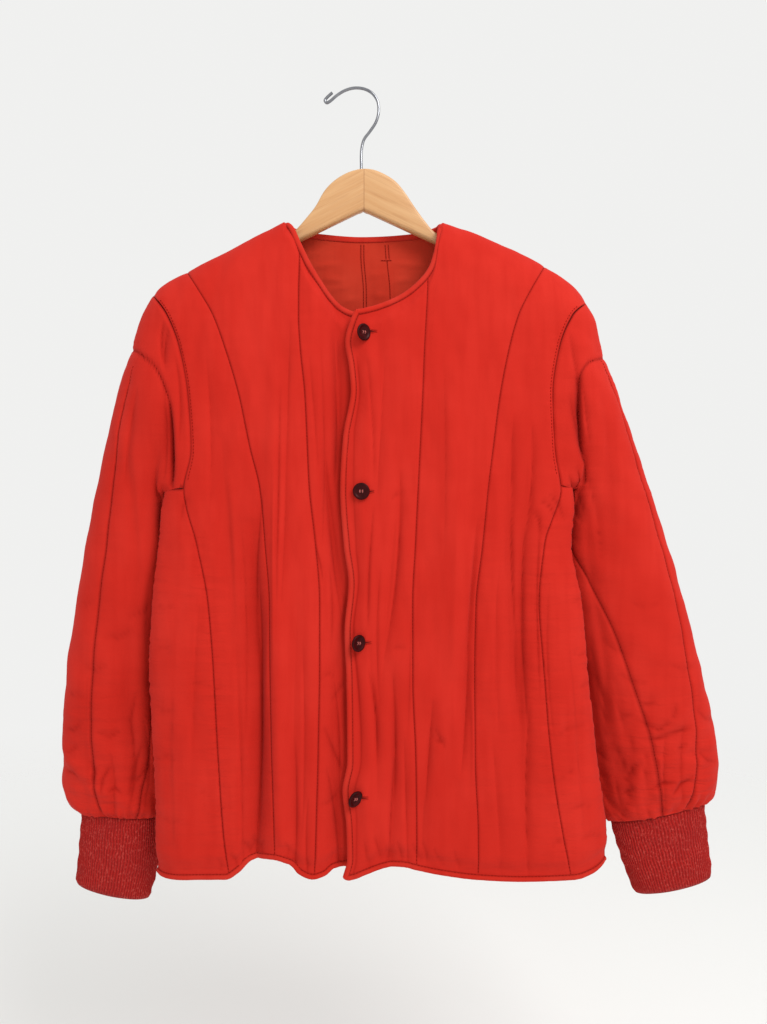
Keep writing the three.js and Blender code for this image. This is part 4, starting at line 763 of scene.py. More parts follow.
def panel_block(side, is_back):
    """Places, walls and marks of one panel half, as arrays by column and row."""
    columns = BACK_COLUMNS if is_back else FRONT_COLUMNS
    x, z, start_z, hem_z, missing = panel_places(side, columns, is_back)
    y = panel_y(side, x, z, is_back)
    near_side = bell((SIDE_COLUMN - columns)[:, None] * 40, 16)
    x = x + sign_of(side) * (OVERHANG * near_side * lower_part(ARMPIT[side], 30, z))
    distance, from_hem, from_tape, from_seam = panel_distances(side, columns, x, z, start_z, hem_z, is_back)

    def clear_of_tape(start, reach):
        return ease((from_tape - start) / reach)
    wall = mix(STITCHED_WALL, channel_wall(distance), clear_of_tape(PRESSED, FADE))
    seed = 3 + 7 * is_back + (13 if side == "left" else 0)
    outer_part = ease((columns - 1.6) / 1.2)[:, None]
    crinkle = puckers(seed, distance, z, reach=7.0, wavelength=9.0) * mix(0.16, 0.5, outer_part)
    low_outer = outer_part * lower_part(-440, 160, z)
    crinkle += puckers(seed + 1, distance, z, reach=26.0, wavelength=17.0) * mix(0.12, 0.6, low_outer)
    tape_puckers = puckers(seed + 2, from_tape, x + z, reach=12.0, wavelength=11.0)
    crinkle += tape_puckers * 0.4 * clear_of_tape(4, 6)
    slow = ripple(seed + 4, (x, 46), (z, 150)) * 0.55 + ripple(seed + 5, (x, 21), (z, 60)) * 0.2
    wall = wall + (crinkle + slow) * clear_of_tape(6, 8)
    wall = np.maximum(caught(side, x, z, wall, from_seam), LEAST_WALL)

    # Painted shade in the grooves of the quilting lines and seams, as the seam mark
    line = bell(distance, LINE_MARK) * clear_of_tape(6, 2)
    pucker = (0.25 + np.exp(-distance / 14)) * mix(0.12, 1, outer_part * lower_part(-380, 200, z))
    pucker = 0.7 * (np.maximum(pucker, 0.7 * bell(from_hem, 34)) * clear_of_tape(5, 4))
    # The crease mark is painted shade in the folds
    return {"x": x, "y": y, "plain_y": panel_y(side, x, z, is_back, folded=False), "z": z, "wall": wall,
            "seam": np.maximum(bell(from_seam, SEAM_MARK), line), "crease": panel_painted_shade(side, x, z, is_back),
            "pucker": pucker, "missing": missing}


def panel_sheet(is_back, first, *rest):
    """One sheet from a block, or from two blocks that meet at their first columns."""
    way = -1 if rest else 1
    whole = {name: np.concatenate([values[::way], *(block[name][1:] for block in rest)])
             for name, values in first.items()}
    present = ~whole["missing"]
    index = np.full(present.shape, -1)
    index[present] = np.arange(present.sum())
    kept = {name: values[present] for name, values in whole.items()}
    points, form = (np.stack([kept["x"], kept[name], kept["z"]], -1) for name in ("y", "plain_y"))
    outward = np.array([0, 1 if is_back else -1, 0.0])
    marks = {name: kept[name] for name in ("seam", "crease", "pucker")}
    return Sheet(index, points, form, kept["wall"], grid_faces(index), outward, **marks)


# Sleeves and cuffs
def ring_point(ring, share, is_back):
    angle = math.pi * share
    to_inner = (1 - np.cos(angle)) / 2
    depth = np.sin(angle) * np.where(is_back, ring["back"], -ring["front"])
    return np.stack([mix(ring["out_x"], ring["in_x"], to_inner),
                     mix(ring["out_y"], ring["in_y"], to_inner) + depth,
                     mix(ring["out_z"], ring["in_z"], to_inner)], -1)


def ring_at(rows, at):
    return {name: read(rows, "place", name, at) for name in rows if name != "place"}


KEYS_PER_HALF = 80


def armhole(side):
    """Inner points of the armhole at even steps of its key, for the front and for the back."""
    keys = np.linspace(0, INNER_KEY, KEYS_PER_HALF + 1)
    armpit = ARMPIT[side]
    down = np.interp(keys, range(STRIP_KEY + 1), LOOP_KEYS)
    columns = np.interp(keys, range(STRIP_KEY, INNER_KEY + 1), STRIP_COLUMNS)
    tip_x, tip_z = tip_of(side)
    z = mix(tip_z, armpit, down)
    loops = []
    for is_back in (False, True):
        x = column_x(side, columns, z, is_back)
        x[0] = tip_x
        loops.append(np.stack([x, panel_y(side, x, z, is_back), z], -1))
    return keys, loops


def key_share(side, ring, keys):
    first = read(QUILT[side], "ring", "first", ring)
    second = read(QUILT[side], "ring", "second", ring)
    return np.where(
        keys < FIRST_KEY, first * keys / FIRST_KEY,
        np.where(keys < SECOND_KEY, mix(first, second, (keys - FIRST_KEY) / (SECOND_KEY - FIRST_KEY)),
                 mix(second, 1, (keys - SECOND_KEY) / (INNER_KEY - SECOND_KEY))))


def head_distance(side, x, z):
    """Distance from the seam that sets the lower sleeve to its head."""
    seam = HEAD_SEAM[side]
    line_x = read(seam, "z", "x", z)
    lean = (read(seam, "z", "x", z + 1) - read(seam, "z", "x", z - 1)) / 2
    beyond = np.maximum(z - seam["z"].max(), 0) + np.maximum(seam["z"].min() - z, 0)
    return np.hypot(np.abs(x - line_x) / np.sqrt(1 + lean**2), beyond)


def sleeve_creases(side, is_back, rings, share, x, z):
    """Depth of the sleeve's creases, folds and wrinkles, and the painted shade that they put on the cloth."""
    depth, dark = 0, 0
    for from_ring, to_ring, high, low, width, deep, which in zip(*SLEEVE_CREASES[side].values()):
        if which == is_back:
            along = np.clip((rings - from_ring) / (to_ring - from_ring), 0, 1)
            shape = crease_shape(share - mix(high, low, along), width, 0.6, 1 if high > low else -1)
            depth = depth + deep * shape * np.sin(math.pi * along) ** 0.7
    if not is_back:
        folds = SLEEVE_FOLDS[side]
        depth = depth + ease(rings / FOLD_RINGS) * fold_depth(folds, x, z, 0.7, CRISP["fine"])
        dark = painted_crease_shade(folds, x, z)
    short_depth, short_dark = wrinkles(SLEEVE_WRINKLES[side], x, z)
    return depth + short_depth, dark + short_dark


def sleeve_wall(seed, rings, share, z, to_mm, seam_line, low_part):
    """Thickness of the sleeve: its channels, the puckers beside their lines, slow lumps and gathers."""
    crinkle = puckers(seed, seam_line, z, reach=8.0, wavelength=10.0) * 0.35
    long_ones = puckers(seed + 1, seam_line, z, reach=34.0, wavelength=20.0)
    crinkle = crinkle + long_ones * 0.8 * mix(0.15, 1, low_part)
    crinkle = crinkle + ripple(seed + 2, (share * 60, 24), (z, 60)) * 0.5
    gather = ease((rings - GATHERS[0]) / GATHERS[1])
    crinkle = crinkle + gather * ripple(seed + 3, (share * 100, 7.5), (z, 90)) * 1.3
    slant = z * 0.7 + share * to_mm
    crinkle = crinkle + low_part * ripple(seed + 4, (slant, 26), (share * to_mm, 160)) * 0.9
    return channel_wall(seam_line) + crinkle


def sleeve_half(side, is_back, rings, keys, loop, loop_share):
    """Points, form, walls and marks of a sleeve's front or back half, by ring and place round it."""
    ring = ring_at(SLEEVE[side], rings)
    kept = (1 - np.clip(rings / ARMHOLE_RINGS, 0, 1)) ** 2
    settled = ease(rings / SETTLED_RINGS)
    share = mix(loop_share[None], key_share(side, rings, keys[None]), settled)
    start = ring_point(ring_at(SLEEVE[side], 0.0), loop_share, is_back)
    point = ring_point(ring, share, is_back) + (loop - start)[None] * kept[..., None]
    depth, dark = sleeve_creases(side, is_back, rings, share, point[..., 0], point[..., 2])
    form = point.copy()
    point[..., 1] += -depth if is_back else depth
    point[0] = loop
    x, z = point[..., 0], point[..., 2]

    across = np.hypot(np.abs(ring["out_x"] - ring["in_x"]), ring["out_z"] - ring["in_z"])
    to_mm = np.pi * across / 2 * ROUND_LENGTH * SHORTENING
    first, second = (key_share(side, rings, np.array([[float(k)]])) for k in (FIRST_KEY, SECOND_KEY))
    distance = np.minimum(np.abs(share - first), np.abs(share - second)) * to_mm
    distance = np.where(settled > 0.05, distance, 40)
    distance = mix(30.0, distance, ease((rings - HEAD_RING) / 0.6 + 0.5))
    seam_line = np.minimum(distance, HEAD_SOFTNESS * head_distance(side, x, z))
    low_part = ease((rings - 6) / 4)
    seed = 31 + 5 * is_back + (17 if side == "left" else 0)
    wall = sleeve_wall(seed, rings, share, z, to_mm, seam_line, low_part)
    from_end = np.minimum(np.minimum(rings * 32, (LAST_RING - rings) * 22), (1 - share) * to_mm)
    wall = np.maximum(caught(side, x, z, wall, from_end), LEAST_WALL)
    # Painted shade in the grooves of the quilting lines and at the sleeve's seams and ends
    seam = np.maximum(bell(seam_line, LINE_MARK), bell(from_end, SEAM_MARK))
    # Painted shade of the sleeve's folds and wrinkles
    crease = np.clip(np.clip(depth, 0, 12) / 14 + dark, 0, 1)
    pucker = (0.3 + np.exp(-seam_line / 16)) * mix(0.2, 1, low_part)
    return point, form, wall, seam, crease, pucker


def sleeve_sheet(side):
    keys, loops = armhole(side)
    steps = np.linalg.norm(np.diff(loops[0], axis=0), axis=1)
    loop_share = np.concatenate([[0], np.cumsum(steps)])
    loop_share /= loop_share[-1]
    head = spread(0, HEAD_RING, 40, 0.3)[:-1]
    rings = np.concatenate([head, spread(HEAD_RING, LAST_RING, 176, 0.2)])[:, None]
    halves = [sleeve_half(side, is_back, rings, keys, loops[is_back], loop_share)
              for is_back in (False, True)]
    points, form, walls, seam, crease, pucker = (
        np.concatenate([front, back[:, -2:0:-1]], 1) for front, back in zip(*halves))
    sheet = tube_sheet(points, form, walls, seam=seam, crease=crease, pucker=pucker)
    sheet.head = len(head)
    return sheet


def tube_index(rings, around):
    """Numbers of a tube's points by ring, with the first of each ring again at its end."""
    index = np.arange(rings * around).reshape(rings, around)
    return np.concatenate([index, index[:, :1]], 1)


def tube_sheet(points, form, walls, **marks):
    closed = tube_index(*points.shape[:2])
    outward = (points - points.mean(1, keepdims=True)).reshape(-1, 3)
    flat = {name: value.reshape(-1) for name, value in marks.items()}
    return Sheet(closed[:, :-1], points.reshape(-1, 3), form.reshape(-1, 3), walls.reshape(-1),
                 grid_faces(closed), outward, **flat)


RIBS, POINTS_PER_RIB = 84, 6
CUFF_ROWS, CUFF_LENGTH = 21, 92
CUFF_WALL, RIB_DEPTH, CUFF_END_WALL = 2.3, 0.42, 0.9


def cuff_sheet(side):
    around = RIBS * POINTS_PER_RIB
    turn = 2 * np.arange(around) / around
    is_back = turn > 1
    share = np.where(is_back, 2 - turn, turn)
    at = np.linspace(0, 2, CUFF_ROWS)[:, None]
    points = ring_point(ring_at(CUFF[side], at), share[None], is_back[None])
    down = at * CUFF_LENGTH / 2
    sway = 0.25 * ripple(51, (down, 30), (share[None] * 100, 40))
    rib = np.cos(2 * math.pi * (np.arange(around)[None] / POINTS_PER_RIB + sway))
    lump = ripple(53 + (side == "left"), (down, 26), (share[None] * 100, 34)) * 0.5
    wall = CUFF_WALL + RIB_DEPTH * rib + lump
    ends = np.minimum(down, CUFF_LENGTH - down)
    wall = mix(CUFF_END_WALL, wall, np.sqrt(ease(ends / SEAM_DIP + 0.05)))
    # The seam mark here is painted shade where the cuff joins the sleeve
    return tube_sheet(points, points, wall, seam=bell(down, 1.6) + 0 * share[None], rib=rib)


# Meshes
materials = {}  # by name, filled further down


def set_mark(mesh, name, values):
    """Numbers at a mesh's points that the materials read."""
    attribute = mesh.attributes.new(name, "FLOAT", "POINT")
    attribute.data.foreach_set("value", np.asarray(values, np.float32))


def cloth_object(name, sheet, outer_slot, inner_slot):
    """A thin closed shell: the outer points, the inner points and a rim."""
    count = len(sheet.points)
    points = np.concatenate([sheet.outer(), sheet.points]) * MM
    rim = [(a, a + count, b + count, b) for a, b in sheet.rim()]
    faces = np.concatenate([sheet.faces, sheet.faces[:, ::-1] + count, np.array(rim)])
    mesh = bpy.data.meshes.new(name)
    mesh.from_pydata(points.tolist(), [], faces.tolist())
    mesh.polygons.foreach_set("use_smooth", np.ones(len(faces), bool))
    mesh.materials.append(materials[outer_slot])
    mesh.materials.append(materials[inner_slot])
    slots = np.zeros(len(faces), np.int32)
    slots[len(sheet.faces):2 * len(sheet.faces)] = 1
    mesh.polygons.foreach_set("material_index", slots)
    for mark, values in sheet.marks.items():
        set_mark(mesh, mark, np.concatenate([values, values * 0]))
    return link(name, mesh)


def link(name, mesh):
    mesh.update()
    thing = bpy.data.objects.new(name, mesh)
    bpy.context.scene.collection.objects.link(thing)
    return thing


def plain_object(name, points, faces, slot):
    mesh = bpy.data.meshes.new(name)
    mesh.from_pydata((np.asarray(points) * MM).tolist(), [], [list(f) for f in faces])
    mesh.polygons.foreach_set("use_smooth", np.ones(len(mesh.polygons), bool))
    mesh.materials.append(materials[slot])
    return link(name, mesh)


def joined(parts):
    """Several parts, each of points and faces, as one."""
    points, faces = [], []
    for part_points, part_faces in parts:
        base = sum(map(len, points))
        points.append(part_points)
        faces += [[i + base for i in face] for face in part_faces]
    return np.concatenate(points), faces


def tube_faces(rings, around):
    """Faces of a tube and its two end caps."""
    closed = tube_index(rings, around)
    return grid_faces(closed).tolist() + [closed[0, -2::-1].tolist(), closed[-1, :-1].tolist()]


def turns_of(count):
    return np.linspace(0, 2 * math.pi, count + 1)[:-1]


def ellipse(half_width, half_height, count):
    return np.array([(half_width * math.cos(a), half_height * math.sin(a)) for a in turns_of(count)])


def facing(count, x, y, z):
    """The same direction once for each of count points."""
    return np.tile([float(x), float(y), float(z)], (count, 1))


def sweep(path, ups, section):
    """Points and faces of a section carried along a path. Each section point is (sideways, up)."""
    path = np.asarray(path, float)
    along = unit(np.gradient(path, axis=0))
    sideways = unit(np.cross(along, ups))
    ups = np.cross(sideways, along)
    points = path[:, None] + sideways[:, None] * section[:, :1] + ups[:, None] * section[:, 1:]
    return points.reshape(-1, 3), tube_faces(len(path), len(section))


def dashes(lines, length=2.6, gap=0.9, radius=0.34):
    """Stitches as small pointed bars along lines of (points, normals), as points and faces."""
    points, faces = [], []
    for line, normals in lines:
        steps = np.linalg.norm(np.diff(line, axis=0), axis=1)
        at = np.concatenate([[0], np.cumsum(steps)])
        starts = np.arange(0.5, at[-1] - length, length + gap)
        if not len(starts):
            continue

        def place(where, values):
            return np.stack([np.interp(where, at, values[:, k]) for k in range(3)], -1)
        start, end = place(starts, line), place(starts + length, line)
        up = unit(place(starts + length / 2, normals))
        side = unit(np.cross(end - start, up))
        rings = []
        for share in (0.22, 0.78):
            middle = mix(start, end, share)
            for a, b in ((1, 0), (0, 1), (-1, 0), (0, -1)):
                rings.append(middle + radius * (a * side + b * up))
        # Ten points to a stitch: its sunk ends, and a ring of four near each of them
        block = np.stack([start - up * 0.2, *rings, end - up * 0.2], 1)
        base = sum(map(len, points)) + 10 * np.arange(len(block))[:, None]
        for k in range(4):
            n = (k + 1) % 4
            faces.append(base + [0, 1 + n, 1 + k])
            faces.append(base + [9, 5 + k, 5 + n])
            faces.append(base + [1 + k, 1 + n, 5 + n])
            faces.append(base + [1 + k, 5 + n, 5 + k])
        points.append(block.reshape(-1, 3))
    return np.concatenate(points), np.concatenate(faces)


# Materials
class Surface:
    """One material, and short ways to add nodes to it."""

    def __init__(self, name, roughness, **shader):
        material = bpy.data.materials.new(name)
        material.use_nodes = True
        materials[name] = material
        self.tree = material.node_tree
        self.shader = self.tree.nodes["Principled BSDF"]
        self.set(Roughness=roughness, **shader)
        self.coordinates = self.tree.nodes.new("ShaderNodeTexCoord").outputs["Object"]

    def put(self, socket, value):
        if isinstance(value, bpy.types.NodeSocket):
            self.tree.links.new(value, socket)
        else:
            socket.default_value = value

    def set(self, **inputs):
        """Inputs of the shader itself, with underscores for the spaces in their names."""
        for name, value in inputs.items():
            self.put(self.shader.inputs[name.replace("_", " ")], value)

    def add(self, kind, settings=None, **inputs):
        """A node, with its inputs by name, or by number after an underscore."""
        node = self.tree.nodes.new(kind)
        for key, value in (settings or {}).items():
            setattr(node, key, value)
        for key, value in inputs.items():
            self.put(node.inputs[int(key[1:])] if key[0] == "_" else node.inputs[key], value)
        return node

    def scaled(self, scale, vector=None):
        vector = vector or self.coordinates
        return self.add("ShaderNodeMapping", Vector=vector, Scale=scale).outputs[0]

    def turned(self, rotation):
        return self.add("ShaderNodeMapping", Vector=self.coordinates, Rotation=rotation).outputs[0]

    def noise(self, vector, scale, detail=2.0, distortion=0.0):
        return self.add("ShaderNodeTexNoise", Vector=vector, Scale=scale, Detail=detail,
                        Distortion=distortion).outputs[0]

    def wave(self, direction, scale, distortion):
        return self.add("ShaderNodeTexWave", {"bands_direction": direction}, Vector=self.coordinates,
                        Scale=scale, Distortion=distortion).outputs["Fac"]

    def math(self, operation, a, b, c=0.5):
        return self.add("ShaderNodeMath", {"operation": operation}, _0=a, _1=b, _2=c).outputs[0]

    def range(self, value, low, high, to_low, to_high):
        return self.add("ShaderNodeMapRange", _0=value, _1=low, _2=high, _3=to_low, _4=to_high).outputs[0]

    def blend(self, factor, a, b):
        return self.add("ShaderNodeMix", {"data_type": "RGBA"}, _0=factor, _6=a, _7=b).outputs[2]

    def attribute(self, name):
        return self.add("ShaderNodeAttribute", {"attribute_name": name}).outputs["Fac"]

    def bump(self, height, strength, distance, **normal):
        return self.add("ShaderNodeBump", Height=height, Strength=strength, Distance=distance,
                        **normal).outputs[0]


def colour(r, g, b):
    """A colour given as in the photograph, from 0 to 255, as the linear value that nodes use."""
    def linear(v):
        v /= 255
        return v / 12.92 if v <= 0.04045 else ((v + 0.055) / 1.055) ** 2.4
    return (linear(r), linear(g), linear(b), 1.0)


def cotton(name, base, light, dark, weave=1.0):
    """Soft cotton: slow mottling, faint upright streaks, a fine weave, painted shade in the folds, and darker
    seams that are painted shade of their grooves.
    """
    n = Surface(name, 0.9, Specular_IOR_Level=0.1, Sheen_Weight=0.03, Sheen_Roughness=0.5)
    mottle = n.noise(n.coordinates, 14, 3)
    streak = n.noise(n.scaled((95, 95, 9)), 1, 2)
    tone = n.blend(n.range(mottle, 0.35, 0.7, 0, 1), base, light)
    tone = n.blend(n.range(streak, 0.45, 0.75, 0, 0.4), tone, dark)
    # Painted shade in the folds and wrinkles
    tone = n.blend(n.math("MULTIPLY", n.attribute("crease"), 0.62), tone, colour(132, 10, 3))
    # Painted shade in the grooves of the stitching and seams
    tone = n.blend(n.math("MULTIPLY", n.attribute("seam"), 0.6), tone, colour(112, 10, 6))
    threads = n.math("ADD", n.wave("X", 420, 1.5), n.wave("Z", 420, 1.5))
    slub = n.noise(n.coordinates, 900, 2)
    height = n.math("ADD", n.math("MULTIPLY", threads, 0.25 * weave), slub)
    ruck = n.math("MULTIPLY", n.noise(n.scaled((34, 34, 150)), 1, 2, 0.6), n.attribute("pucker"))
    rucked = n.bump(ruck, 0.9, 0.0022)
    soft = n.bump(n.noise(n.scaled((1, 1, 0.55)), 62, 3), 0.35, 0.0009, Normal=rucked)
    n.set(Base_Color=tone, Normal=n.bump(height, 0.22, 0.00022, Normal=soft))


cotton("cotton", colour(190, 36, 25), colour(198, 42, 31), colour(181, 30, 20))
cotton("lining", colour(186, 48, 30), colour(196, 60, 40), colour(164, 38, 23))
cotton("shadow_cloth", colour(96, 12, 8), colour(110, 16, 11), colour(80, 9, 6))
# Darker than the lining: painted shade of the lining's seams
cotton("lining_seam", colour(150, 32, 20), colour(158, 38, 25), colour(132, 26, 16))
cotton("tape", colour(192, 38, 25), colour(197, 52, 40), colour(176, 31, 20), weave=2.0)


def rib_knit():
    """Darker between the ribs as painted shade of their hollows, with pale flecks and painted shade at the
    join with the sleeve.
    """
    n = Surface("rib_knit", 0.9, Specular_IOR_Level=0.1, Sheen_Weight=0.06, Sheen_Roughness=0.5)
    rib = n.range(n.attribute("rib"), -1, 1, 0, 1)
    # Painted shade in the hollows between the ribs
    tone = n.blend(rib, colour(136, 20, 18), colour(172, 34, 29))
    fleck = n.noise(n.scaled((1, 1, 0.6)), 620, 2)
    tone = n.blend(n.range(fleck, 0.54, 0.68, 0, 0.5), tone, colour(206, 84, 74))
    tone = n.blend(n.range(n.noise(n.coordinates, 30, 2), 0.4, 0.7, 0, 0.35), tone, colour(140, 26, 25))
    # Painted shade at the join with the sleeve
    tone = n.blend(n.math("MULTIPLY", n.attribute("seam"), 0.5), tone, colour(90, 10, 10))
    height = n.math("ADD", n.wave("Z", 170, 2.0), fleck)
    n.set(Base_Color=tone, Normal=n.bump(height, 0.5, 0.0004))


ARMS_MEET = 0.0112  # x of the joint between the hanger's arms, in metres


def pale_wood():
    """Grain that follows each arm, and a thin dark line where the arms meet."""
    n = Surface("wood", 0.42, Specular_IOR_Level=0.45, Coat_Weight=0.25, Coat_Roughness=0.3)
    x = n.add("ShaderNodeSeparateXYZ", Vector=n.coordinates).outputs["X"]
    left_arm = n.math("GREATER_THAN", x, ARMS_MEET)
    right_grain, left_grain = (n.scaled((7, 60, 150), n.turned((0, math.radians(angle), 0)))
                               for angle in (27, -26))
    along = n.blend(left_arm, right_grain, left_grain)
    broad = n.noise(along, 1.0, 4, 0.6)
    fine = n.noise(along, 4.2, 3, 0.2)
    tone = n.blend(n.range(broad, 0.32, 0.72, 0, 1), colour(210, 163, 112), colour(196, 143, 90))
    tone = n.blend(n.range(fine, 0.5, 0.75, 0, 0.5), tone, colour(176, 122, 74))
    tone = n.blend(n.math("COMPARE", x, ARMS_MEET, 0.0004), tone, colour(170, 120, 76))
    n.set(Base_Color=tone, Normal=n.bump(fine, 0.12, 0.0003))


def plain_kind(name, tone, other, roughness, scale, relief, **shader):
    """A surface of two close tones with light wear in its gloss and relief."""
    n = Surface(name, roughness, **shader)
    patches = n.noise(n.coordinates, scale, 3)
    n.set(Base_Color=n.blend(n.range(patches, 0.35, 0.7, 0, 1), tone, other),
          Roughness=n.range(patches, 0.3, 0.75, roughness * 0.8, roughness * 1.3),
          Normal=n.bump(n.noise(n.coordinates, scale * 6, 2), relief, 0.0002))


rib_knit()
pale_wood()
plain_kind("button", colour(60, 5, 7), colour(36, 3, 4), 0.36, 160, 0.15, Specular_IOR_Level=0.1)
plain_kind("steel", colour(150, 151, 155), colour(120, 121, 127), 0.2, 90, 0.05, Metallic=1.0)
plain_kind("stitch", colour(146, 18, 11), colour(118, 13, 8), 0.85, 900, 0.4, Specular_IOR_Level=0.05)
plain_kind("button_thread", colour(172, 98, 92), colour(148, 72, 68), 0.8, 900, 0.4, Specular_IOR_Level=0.1)


def pale_floor():
    """Pale and plain, thinning out to nothing towards its rim, so that it has no edge in any view."""
    n = Surface("pale_floor", 0.9, Specular_IOR_Level=0.1)
    radius = n.add("ShaderNodeVectorMath", {"operation": "LENGTH"}, _0=n.coordinates).outputs["Value"]
    n.set(Base_Color=colour(240, 240, 238), Alpha=n.range(radius, 0.6, 2.6, 1, 0))


pale_floor()

# Cloth
blocks = {(side, back): panel_block(side, back) for side in ("right", "left") for back in (False, True)}
sheets = {
    "front_right": panel_sheet(False, blocks["right", False]),
    "front_left": panel_sheet(False, blocks["left", False]),
    "back": panel_sheet(True, blocks["right", True], blocks["left", True]),
    "sleeve_right": sleeve_sheet("right"),
    "sleeve_left": sleeve_sheet("left"),
    "cuff_right": cuff_sheet("right"),
    "cuff_left": cuff_sheet("left"),
}
cloth = {}
for name, sheet in sheets.items():
    looks = ("rib_knit", "rib_knit") if name.startswith("cuff") else ("cotton", "lining")
    cloth[name] = cloth_object("cloth_" + name, sheet, *looks)

# Bindings: folded tape over the cut edges. The section's points, from the stitched edge round the fold:
# way into the panel, height, whether that is above the outer face, and the painted shade on the tape there,
# in its stitched groove and along its edge at the panel
TAPE_SECTION = [
    (5.3, 0.1, 1, 0.5), (5.1, 0.5, 1, 0.9), (4.6, 0.5, 1, 1), (3.9, 1.15, 1, 0.4), (2.7, 1.55, 1, 0),
    (1.4, 1.6, 1, 0), (0.2, 1.25, 1, 0), (-0.8, 0.5, 1, 0), (-1.35, -0.6, 1, 0), (-1.35, 0.1, 0, 0),
    (-0.8, -0.6, 0, 0), (0.6, -1.1, 0, 0), (3.9, -1.1, 0, 0), (5.2, -0.7, 0, 0.5), (5.3, -0.1, 0, 0.5),
]
TAPE_STITCH = (4.5, 0.62)  # way into the panel and height of the line of stitching
LEAST_NECK_WALL = 2.0


def tape_rings(path, middle, turns):
    """Section points of a tape by path node, with the line and normals of its stitching."""
    points, normals, walls = path
    into = unit(np.cross(normals, unit(np.gradient(points, axis=0))))
    if (into * (middle - points)).sum() < 0:
        into = -into
    for place, way in turns:
        into[place] = way
    up = unit(normals - into * (normals * into).sum(1, keepdims=True))
    lumps = ripple(71, (np.arange(len(points)), 9.0)) * 0.12
    rings = [points + into * inwards + up * (height + on_top * (walls + lumps))[:, None]
             for inwards, height, on_top, _ in TAPE_SECTION]
    stitch = points + into * TAPE_STITCH[0] + up * (walls + TAPE_STITCH[1])[:, None]
    return np.stack(rings, 1), (stitch, up)


def tape_object(name, rings):
    thing = plain_object(name, rings.reshape(-1, 3), tube_faces(*rings.shape[:2]), "tape")
    # The tape's painted shade, in its stitched groove and along its edge at the panel
    set_mark(thing.data, "seam", [dark for _ in rings for *_, dark in TAPE_SECTION])
    return thing


def nearest(columns, value):
    return int(np.argmin(np.abs(columns - value)))


right, left, back = sheets["front_right"], sheets["front_left"], sheets["back"]
corner = nearest(FRONT_COLUMNS, NECK_CORNER)
back_corner = nearest(BACK_COLUMNS, NECK_CORNER)
middle_of_back = len(BACK_COLUMNS) - 1
neck_parts = [
    right.along(right.index[:corner + 1, 0]),
    back.along(back.index[middle_of_back - back_corner + 1:middle_of_back + back_corner, 0]),
    left.along(left.index[corner::-1, 0]),
]
neck_path = [np.concatenate(parts) for parts in zip(*neck_parts)]
neck_path[2] = np.maximum(neck_path[2], LEAST_NECK_WALL)
# Each tape's path, and a place inside the panel it binds
tape_paths = {
    "edge_binding_right": (right.along(right.index[0]), (-110, -20, -500)),
    "edge_binding_left": (left.along(left.index[0]), (120, -20, -500)),
    "hem_binding_right": (right.along(right.index[:, -1]), (-90, -30, -500)),
    "hem_binding_left": (left.along(left.index[:, -1]), (120, -30, -500)),
    "hem_binding_back": (back.along(back.index[:, -1]), (8, 20, -500)),
    "neck_binding": (neck_path, (CENTRE_BACK, 0, -500)),
}
corner_ways = []
for side, place in (("right", corner), ("left", len(neck_path[0]) - 1 - corner)):
    way = np.array([sign_of(side), 0, -0.5]) / math.hypot(1, 0.5)
    corner_ways += [(place + step, way) for step in (-1, 0, 1)]
tapes, tape_stitches = {}, {}
for name, (path, middle) in tape_paths.items():
    turns = corner_ways if name == "neck_binding" else ()
    rings, tape_stitches[name] = tape_rings(path, np.array(middle, float), turns)
    tapes[name] = tape_object("tape_" + name, rings)


# Stitches
def outer_y(sheet, x, z, nodes=slice(None)):
    """Depth of a sheet's outer face at a place, from its four nearest points."""
    points = sheet.outer()[nodes]
    away = np.hypot(points[:, 0] - x, points[:, 2] - z)
    near = np.argpartition(away, 4)[:4]
    weights = 1 / (away[near] + 0.05)
    return (points[near, 1] * weights).sum() / weights.sum()


def stitch_object(name, lines, **sizes):
    return plain_object(name, *dashes(lines, **sizes), "stitch")


# Columns stitched all the way down and columns stitched below the armpit
FRONT_LINES = (FRONT_COLUMNS, (1, 2), (ARMHOLE_COLUMN,))
BACK_LINES = (np.concatenate([-BACK_COLUMNS[::-1], BACK_COLUMNS[1:]]), (-2, -1, 1, 2),
              (-ARMHOLE_COLUMN, ARMHOLE_COLUMN))
BESIDE_ARMHOLE = 2.955
stitching = {}
for name in ("front_right", "front_left", "back"):
    sheet = sheets[name]
    columns, whole, low = BACK_LINES if name == "back" else FRONT_LINES
    lines = [sheet.outer_line(sheet.index[nearest(columns, k)]) for k in whole]
    lines += [sheet.outer_line(sheet.index[nearest(columns, k)][UPPER_ROWS + 2:]) for k in low]
    side = name.removeprefix("front_")
    if name != "back":
        armhole_line = sheet.index[nearest(columns, BESIDE_ARMHOLE)]
        lines.append(sheet.outer_line(armhole_line[6:UPPER_ROWS - 2]))
        lines.append(tape_stitches["edge_binding_" + side])
    lines.append(tape_stitches["hem_binding_" + side])
    stitching[name] = stitch_object("stitches_" + name, lines)
stitching["neck"] = stitch_object("stitches_neck", [tape_stitches["neck_binding"]])
SEAM_POINTS = 80
for side in ("right", "left"):
    name = "sleeve_" + side
    sheet = sheets[name]
    around = sheet.index.shape[1]
    first, second = (round(key * KEYS_PER_HALF / INNER_KEY) for key in (FIRST_KEY, SECOND_KEY))
    lines = [sheet.outer_line(sheet.index[sheet.head:-4, column])
             for column in (first, second, around - first, around - second)]
    seam = HEAD_SEAM[side]
    z = np.linspace(seam["z"][2] - 3, seam["z"].min(), SEAM_POINTS)
    x = read(seam, "z", "x", z)
    for half, way in ((sheet.index[:, :KEYS_PER_HALF + 1], -1), (sheet.index[:, KEYS_PER_HALF:], 1)):
        y = [outer_y(sheet, a, b, half.ravel()) for a, b in zip(x, z)]
        y = np.convolve(np.pad(y, 4, "edge"), np.ones(9) / 9, "valid")
        lines.append((np.stack([x, y + 0.1 * way, z], -1), facing(SEAM_POINTS, 0, way, 0)))
    stitching[name] = stitch_object("stitches_" + name, lines)


